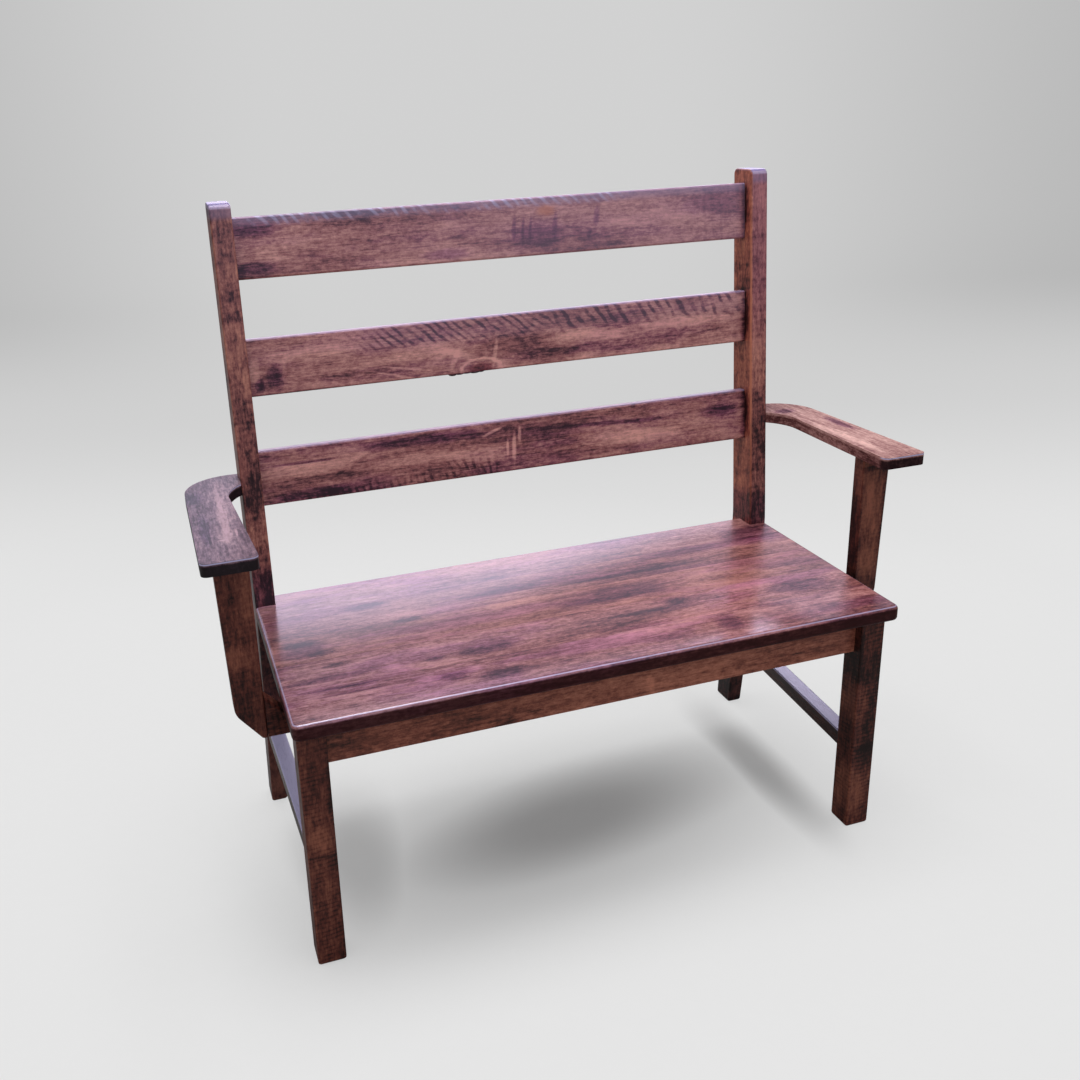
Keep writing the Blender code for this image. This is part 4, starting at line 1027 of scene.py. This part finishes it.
class BENCH_OT_posts(bpy.types.Operator):
    """Back posts that bend at the seat, taper to the floor and have rounded tops"""
    bl_idname = "bench.posts"
    bl_label = "Back posts"

    def execute(self, context):
        sizes = context.scene.bench_sizes
        steps = (-6, -4, -2.5, -1.5, -0.7, 0, 0.7, 1.5, 2.5, 4, 6)
        knee = [sizes.seat_top + sizes.knee_soft * step for step in steps]
        taper = sizes.seat_top - sizes.seat_thickness - sizes.apron_height
        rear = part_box("back_post_right")[1].y
        for label, side in SIDES:
            bm = block((-1, -1, 0), (1, 1, sizes.post_top))
            cut_levels(bm, [taper, *knee])
            for vert in bm.verts:
                inner, outer = post_sides(sizes, vert.co.z)
                front, back = post_front(sizes, vert.co.z), post_back(sizes, vert.co.z)
                vert.co.x = outer if vert.co.x > 0 else inner
                vert.co.y = back if vert.co.y > 0 else front
            ease(bm, foot_edges(bm, sizes), sizes.foot_ease)
            ends = [e for e in bm.edges if min(v.co.z for v in e.verts) > sizes.post_top - sizes.gap
                    and abs(e.verts[0].co.y - e.verts[1].co.y) < sizes.gap]
            ease(bm, ends, sizes.top_round, 8)
            ease(bm, sharp_edges(bm), sizes.frame_edge)
            for vert in bm.verts:
                vert.co.y = min(vert.co.y, rear)
            finish = post_finish(context.scene.bench_stains, sizes, f"post_maple_{label}", side)
            add_piece(f"back_post_{label}_timber", bm, finish, [f"back_post_{label}"], side)
        return {"FINISHED"}


class BENCH_OT_legs(bpy.types.Operator):
    """Square front legs with eased edges"""
    bl_idname = "bench.legs"
    bl_label = "Front legs"
    # Pale and dark marks of each leg
    marks = {
        "left": (
            (((-0.492, -0.24, 0.236), (0.026, 0.05, 0.032)),),
            (((-0.492, -0.24, 0.205), (0.040, 0.05, 0.003)),)),
        "right": (
            (((0.480, -0.23, 0.080), (0.060, 0.06, 0.070)), ((0.470, -0.23, 0.260), (0.060, 0.06, 0.060))),
            # The second dark mark of the right leg is painted shade in the gap beside the apron
            (((0.495, -0.24, 0.165), (0.030, 0.05, 0.012)), ((0.452, -0.225, 0.400), (0.008, 0.030, 0.070)))),
    }

    def execute(self, context):
        sizes = context.scene.bench_sizes
        for label, side in SIDES:
            bm = block(*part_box("front_leg_right"))
            ease(bm, foot_edges(bm, sizes), sizes.foot_ease)
            ease(bm, sharp_edges(bm), sizes.frame_edge)
            pale, dark = self.marks[label]
            finish = leg_finish(
                context.scene.bench_stains, f"leg_maple_{label}", ALONG_Z, 15.0 + side,
                painted_seat_shade=0.06, pale=pale, dark=dark)
            add_piece(f"front_leg_{label}_timber", bm, finish, [f"front_leg_{label}"], side)
        return {"FINISHED"}


class BENCH_OT_rails(bpy.types.Operator):
    """Front apron, and side stretchers that climb from leg to post"""
    bl_idname = "bench.rails"
    bl_label = "Apron and stretchers"

    def execute(self, context):
        sizes = context.scene.bench_sizes
        stains = context.scene.bench_stains
        low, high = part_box("front_apron")
        leg_low, leg_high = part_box("front_leg_right")
        reach = leg_low.x - sizes.gap
        bm = block((-reach, low.y, low.z), (reach, high.y, high.z))
        ease(bm, long_edges(bm, 0, reach), sizes.apron_edge)
        finish = apron_finish(stains, "apron_maple", ALONG_X, 21.0)
        add_piece("front_apron_board", bm, finish, ["front_apron"])

        front = leg_high.y + sizes.gap
        middle = sizes.stretcher_top - sizes.stretcher_height / 2
        leg_middle = (leg_low.x + leg_high.x) / 2
        post_middle = sum(post_sides(sizes, middle + sizes.stretcher_rise)) / 2
        length_to_post = post_front(sizes, middle) - front
        finish = stretcher_finish(stains, sizes, front, math.atan2(sizes.stretcher_rise, length_to_post))
        for label, side in SIDES:
            half = Vector((sizes.stretcher_width / 2, 1.0, sizes.stretcher_height / 2))
            bm = block(-half, half)
            for vert in bm.verts:
                if vert.co.y < 0:
                    vert.co += Vector((leg_middle, front + 1.0, middle))
                else:
                    z = middle + sizes.stretcher_rise + vert.co.z
                    y = post_front(sizes, z) - sizes.gap
                    slide = (y - front) / length_to_post
                    vert.co.x += leg_middle + (post_middle - leg_middle) * slide
                    vert.co.y = y
                    vert.co.z = z
            ease(bm, long_edges(bm, 1, sizes.stretcher_width), sizes.apron_edge)
            add_piece(
                f"side_stretcher_{label}_bar", bm, finish, [f"side_stretcher_{label}"], side)
        return {"FINISHED"}


class BENCH_OT_arms(bpy.types.Operator):
    """Flat arms with a bent plan, butted on the outer faces of the posts"""
    bl_idname = "bench.arms"
    bl_label = "Arms"

    def execute(self, context):
        sizes = context.scene.bench_sizes
        rear = sizes.seat_front + sizes.seat_depth
        end_x = sizes.post_out + sizes.gap
        inner = post_front(sizes, arm_top(sizes, rear))
        outer = inner + sizes.arm_end_width
        waist = sizes.arm_out - sizes.arm_rear_width
        inner_turn = math.acos((end_x - waist + sizes.arm_inner_radius) / sizes.arm_inner_radius)
        outer_turn = math.acos((end_x - sizes.arm_out + sizes.arm_outer_radius) / sizes.arm_outer_radius)
        inner_reach = sizes.arm_inner_radius * math.tan(inner_turn / 2)
        outer_reach = sizes.arm_outer_radius * math.tan(outer_turn / 2)
        outline = (
            (end_x, inner), (waist, inner - inner_reach * math.cos(inner_turn)),
            (sizes.arm_out - sizes.arm_front_width, sizes.arm_front), (sizes.arm_out, sizes.arm_front),
            (sizes.arm_out, outer - outer_reach * math.cos(outer_turn)), (end_x, outer))

        def at_post(point):
            return point.x < end_x + sizes.gap

        short_of_post = 0.99
        for label, side in SIDES:
            bm, corners = slab([(x, y, 0.0) for x, y in outline])
            fillet(bm, corners[2], sizes.arm_corner, 6)
            fillet(bm, corners[3], sizes.arm_corner, 6)
            fillet(bm, corners[1], inner_reach * short_of_post, 14)
            fillet(bm, corners[4], outer_reach * short_of_post, 18)
            thicken(bm, (0, 0, -sizes.arm_thickness))
            ease(bm, sharp_edges(bm, at_post), sizes.arm_edge)
            fall = Matrix.Identity(4)
            fall[2][1] = -sizes.arm_slope
            fall[2][3] = arm_top(sizes, 0.0)
            bmesh.ops.transform(bm, matrix=fall, verts=bm.verts)
            finish = left_arm_finish if side < 0 else right_arm_finish
            material = finish(context.scene.bench_stains, sizes)
            add_piece(f"arm_{label}_board", bm, material, [f"arm_{label}"], side)
        return {"FINISHED"}


class BENCH_OT_supports(bpy.types.Operator):
    """Arm supports with the lower outer corner cut away, and their spacer blocks"""
    bl_idname = "bench.supports"
    bl_label = "Arm supports"
    # Pale and dark marks of each support
    marks = {
        "left": ((((-0.580, -0.1145, 0.500), (0.036, 0.05, 0.030)),), ()),
        "right": (
            (((0.572, -0.1145, 0.580), (0.030, 0.05, 0.090)),
             ((0.566, -0.1145, 0.470), (0.026, 0.05, 0.050))),
            (((0.545, -0.10, 0.460), (0.005, 0.060, 0.200)), ((0.572, -0.1145, 0.652), (0.040, 0.05, 0.008)),
             ((0.572, -0.1145, 0.668), (0.040, 0.05, 0.005)))),
    }

    def support(self, sizes):
        back = sizes.support_front + sizes.support_depth
        inner = sizes.support_in
        toe = Vector((inner + sizes.support_toe, sizes.support_bottom))
        shoulder = Vector((inner + sizes.support_low, sizes.support_bottom + sizes.support_cut))
        seat = arm_top(sizes, sizes.support_front) - sizes.arm_thickness - sizes.gap
        top = Vector((inner + sizes.support_high, seat))
        angle = (shoulder - toe).angle(top - shoulder)
        outline = ((inner, sizes.support_bottom), toe, shoulder, top, (inner, seat))
        bm, corners = slab([(x, sizes.support_front, z) for x, z in outline])
        fillet(bm, corners[2], sizes.support_round * math.tan(angle / 2), 8)
        thicken(bm, (0, sizes.support_depth, 0))
        for vert in bm.verts:
            if vert.co.z > seat - sizes.gap and vert.co.y > back - sizes.gap:
                vert.co.z -= sizes.arm_slope * sizes.support_depth

        def under_arm(point):
            return point.z > seat - sizes.arm_slope * sizes.support_depth - sizes.gap

        ease(bm, sharp_edges(bm, under_arm), sizes.frame_edge)
        return bm

    def spacer(self, sizes):
        inner = sizes.spacer_in
        outer = sizes.support_in - sizes.gap
        low = sizes.support_bottom
        outline = (
            (inner, low), (outer, low), (outer, low + sizes.spacer_high), (inner, low + sizes.spacer_low))
        bm, _ = slab([(x, sizes.support_front, z) for x, z in outline])
        thicken(bm, (0, sizes.support_depth, 0))
        ease(bm, long_edges(bm, 0, sizes.spacer_edge), sizes.spacer_edge)
        return bm

    def execute(self, context):
        sizes = context.scene.bench_sizes
        stains = context.scene.bench_stains
        for label, side in SIDES:
            pale, dark = self.marks[label]
            finish = leg_finish(
                stains, f"support_maple_{label}", ALONG_Z, 41.0 + side, curl=0.08, pale=pale, dark=dark)
            add_piece(f"arm_support_{label}_timber", self.support(sizes), finish,
                      [f"arm_support_{label}"], side)
        # Painted shade: the spacer sits under the seat
        finish = leg_finish(stains, "spacer_maple", ALONG_X, 44.0, painted_seat_shade=0.12)
        for label, side in SIDES:
            add_piece(f"arm_spacer_{label}_block", self.spacer(sizes), finish,
                      [f"arm_spacer_{label}"], side)
        return {"FINISHED"}


class BENCH_OT_underside(bpy.types.Operator):
    """Finish of the rear and side aprons, corner blocks, pegs and screws, whose solids stay"""
    bl_idname = "bench.underside"
    bl_label = "Underside"

    def execute(self, context):
        stains = context.scene.bench_stains
        finishes = {
            "rear_apron": apron_finish(stains, "rear_apron_maple", ALONG_X, 51.0, painted_shade_under_seat=True),
            "side_apron": apron_finish(stains, "side_apron_maple", ALONG_Y, 53.0, painted_shade_under_seat=True),
            "corner_block": bare_finish(stains),
            "seat_screw": zinc_finish(stains),
        }
        finishes["arm_dowel"] = finishes["corner_block"]
        finishes["arm_support_screw"] = finishes["seat_screw"]
        for kind, finish in finishes.items():
            found = [solid for node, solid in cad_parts.items() if node.startswith(kind)]
            if not found:
                raise RuntimeError(f"the frame has no {kind}")
            for solid in found:
                solid.data.materials.clear()
                solid.data.materials.append(finish)
        return {"FINISHED"}


class BENCH_OT_studio(bpy.types.Operator):
    """Pale floor and backdrop, soft lamps and the camera"""
    bl_idname = "bench.studio"
    bl_label = "Studio"

    def floor(self, studio):
        half_width, half_depth, sweep, wall = 14, 7, 3, 6
        bm = bmesh.new()
        bmesh.ops.create_grid(bm, x_segments=1, y_segments=1, size=1.0)
        bmesh.ops.scale(bm, vec=(half_width, half_depth, 1), verts=bm.verts)
        rear = [e for e in bm.edges if all(v.co.y > 0 for v in e.verts)]
        bmesh.ops.spin(
            bm, geom=rear, cent=(0, half_depth, sweep), axis=(1, 0, 0), dvec=(0, 0, 0),
            angle=math.pi / 2, steps=24)
        highest = max(v.co.z for v in bm.verts) - 1e-4
        rim = [e for e in bm.edges if all(v.co.z > highest for v in e.verts)]
        move_new(bm, bmesh.ops.extrude_edge_only(bm, edges=rim), (0, 0, wall))
        mesh = bpy.data.meshes.new("studio_floor")
        bm.to_mesh(mesh)
        bm.free()
        mesh.shade_smooth()
        mesh.materials.append(self.paper(studio))
        floor = bpy.data.objects.new("studio_floor", mesh)
        bpy.context.scene.collection.objects.link(floor)

    def paper(self, studio):
        """Paper that keeps soft patches of shadow under the bench and fades to an even backdrop."""
        material = bpy.data.materials.new("studio_paper")
        material.use_nodes = True
        tree = material.node_tree
        tree.nodes.remove(tree.nodes["Principled BSDF"])
        place = put(tree, "TexCoord").outputs["Object"]
        turned = put(tree, "Mapping", {"Vector": place, "Rotation": (0.0, 0.0, studio.camera_heading)})
        parts = put(tree, "SeparateXYZ", {0: turned.outputs[0]}).outputs
        sideways = maths(tree, "ABSOLUTE", maths(tree, "ARCTAN2", parts["X"], parts["Y"]))
        back = remap(tree, parts["Y"], 0.8, 2.9)
        wings = maths(
            tree, "MULTIPLY", remap(tree, sideways, 0.17, 0.70), remap(tree, parts["Y"], 2.4, 6.0))
        speck = noise(tree, place, (40.0, 40.0, 40.0), 3.0)
        near = mix(tree, remap(tree, speck, 0.3, 0.7, 0.0, 0.02), rgb(studio.floor), rgb(studio.backdrop))
        tone = mix(tree, wings, mix(tree, back, near, rgb(studio.backdrop)), rgb(studio.wings))
        lit = put(tree, "BsdfDiffuse", {"Color": tone}).outputs[0]
        even = put(tree, "Emission", {"Color": tone}).outputs[0]
        far = put(tree, "VectorMath", {0: place}, operation="LENGTH").outputs["Value"]
        clear = 1.0
        for centre, size, lean, least in (
                ((0.00, -0.04, 0.0), (0.45, 0.19, 1.0), 0.15, 0.0),
                ((-0.06, -0.07, 0.0), (0.54, 0.27, 1.0), 0.12, 0.28),
                ((-0.40, -0.01, 0.0), (0.13, 0.25, 1.0), 0.0, 0.20),
                ((0.425, 0.0, 0.0), (0.065, 0.26, 1.0), 0.0, 0.10)):
            patch = put(tree, "Mapping", {
                "Vector": place, "Location": centre, "Rotation": (0.0, 0.0, lean), "Scale": size},
                vector_type="TEXTURE")
            aside = put(tree, "VectorMath", {0: patch.outputs[0]}, operation="LENGTH").outputs["Value"]
            clear = maths(tree, "MINIMUM", clear, remap(tree, aside, 0.15, 1.4, least, 0.75))
        clear = maths(tree, "MAXIMUM", clear, remap(tree, far, 0.8, 2.2))
        seen = put(tree, "MixShader", {0: clear, 1: lit, 2: even}).outputs[0]
        bounce = put(tree, "BsdfDiffuse", {"Color": rgb(studio.bounce)}).outputs[0]
        path = put(tree, "LightPath").outputs
        surface = put(tree, "MixShader", {0: path["Is Camera Ray"], 1: bounce, 2: seen}).outputs[0]
        tree.links.new(surface, tree.nodes["Material Output"].inputs["Surface"])
        return material

    def lamp(self, name, place, target, size, power, tint):
        light = bpy.data.lights.new(name, "AREA")
        light.shape = "RECTANGLE"
        light.size, light.size_y = size
        light.energy = power
        light.color = tint
        lamp = bpy.data.objects.new(name, light)
        lamp.location = place
        lamp.rotation_euler = (Vector(target) - Vector(place)).to_track_quat("-Z", "Y").to_euler()
        lamp.visible_camera = False
        bpy.context.scene.collection.objects.link(lamp)
        return lamp

    def execute(self, context):
        scene = context.scene
        studio = scene.bench_studio
        self.floor(studio)
        self.lamp("key_lamp", (-0.1, 0.3, 4.0), (0, 0, 0.3), (1.6, 1.6), studio.key_power, (1, 1, 1))
        sheen = (
            ("window", (0.7, 4.0, 2.1), (0, 0, 0.5), (3.8, 2.2), studio.window_power, studio.window_tint),
            ("side", (3.4, 4.0, 2.95), (0, 0, 0.4), (1.3, 0.9), studio.side_power, studio.window_tint),
            ("edge", (0.0, -0.6, 4.4), (0, 0, 0.5), (4.0, 1.6), studio.edge_power, studio.haze_tint),
            ("front", (1.6, -5.0, 2.7), (0, 0, 0.8), (7.0, 3.0), studio.front_power, studio.haze_tint))
        for name, *settings in sheen:
            self.lamp(f"{name}_lamp", *settings).visible_diffuse = False
        world = bpy.data.worlds.new("studio_light")
        world.use_nodes = True
        sky = world.node_tree.nodes["Background"]
        sky.inputs["Color"].default_value = rgb(studio.sky)
        sky.inputs["Strength"].default_value = studio.sky_level
        world.cycles_visibility.glossy = False
        scene.world = world
        scene.view_settings.view_transform = "Standard"
        view = bpy.data.cameras.new("photo_view")
        view.sensor_width = 36.0
        view.lens = studio.camera_lens
        view.shift_x, view.shift_y = studio.camera_shift
        camera = bpy.data.objects.new("photo_view", view)
        camera.matrix_world = (
            Matrix.Translation(studio.camera_place) @ Matrix.Rotation(-studio.camera_heading, 4, "Z")
            @ Matrix.Rotation(math.pi / 2 - studio.camera_pitch, 4, "X")
            @ Matrix.Rotation(studio.camera_roll, 4, "Z"))
        scene.collection.objects.link(camera)
        scene.camera = camera
        return {"FINISHED"}


PIECES = (BENCH_OT_seat, BENCH_OT_slats, BENCH_OT_posts, BENCH_OT_legs, BENCH_OT_rails, BENCH_OT_arms,
          BENCH_OT_supports, BENCH_OT_underside, BENCH_OT_studio)


class BENCH_PT_pieces(bpy.types.Panel):
    """Pieces of the bench, in the order in which they are made"""
    bl_idname = "BENCH_PT_pieces"
    bl_label = "Hall bench"
    bl_space_type = "VIEW_3D"
    bl_region_type = "UI"
    bl_category = "Bench"

    def draw(self, context):
        for piece in PIECES:
            self.layout.operator(piece.bl_idname)


GROUPS = (("bench_sizes", BenchSizes), ("bench_stains", BenchStains), ("bench_studio", BenchStudio))


def register():
    for _, group in GROUPS:
        bpy.utils.register_class(group)
    for cls in (*PIECES, BENCH_PT_pieces):
        bpy.utils.register_class(cls)
    for name, group in GROUPS:
        setattr(bpy.types.Scene, name, PointerProperty(type=group))


def unregister():
    for name, _ in GROUPS:
        delattr(bpy.types.Scene, name)
    for cls in (BENCH_PT_pieces, *reversed(PIECES)):
        bpy.utils.unregister_class(cls)
    for _, group in GROUPS:
        bpy.utils.unregister_class(group)


def main():
    register()
    for piece in PIECES:
        family, name = piece.bl_idname.split(".")
        getattr(getattr(bpy.ops, family), name)()


if __name__ == "__main__":
    main()
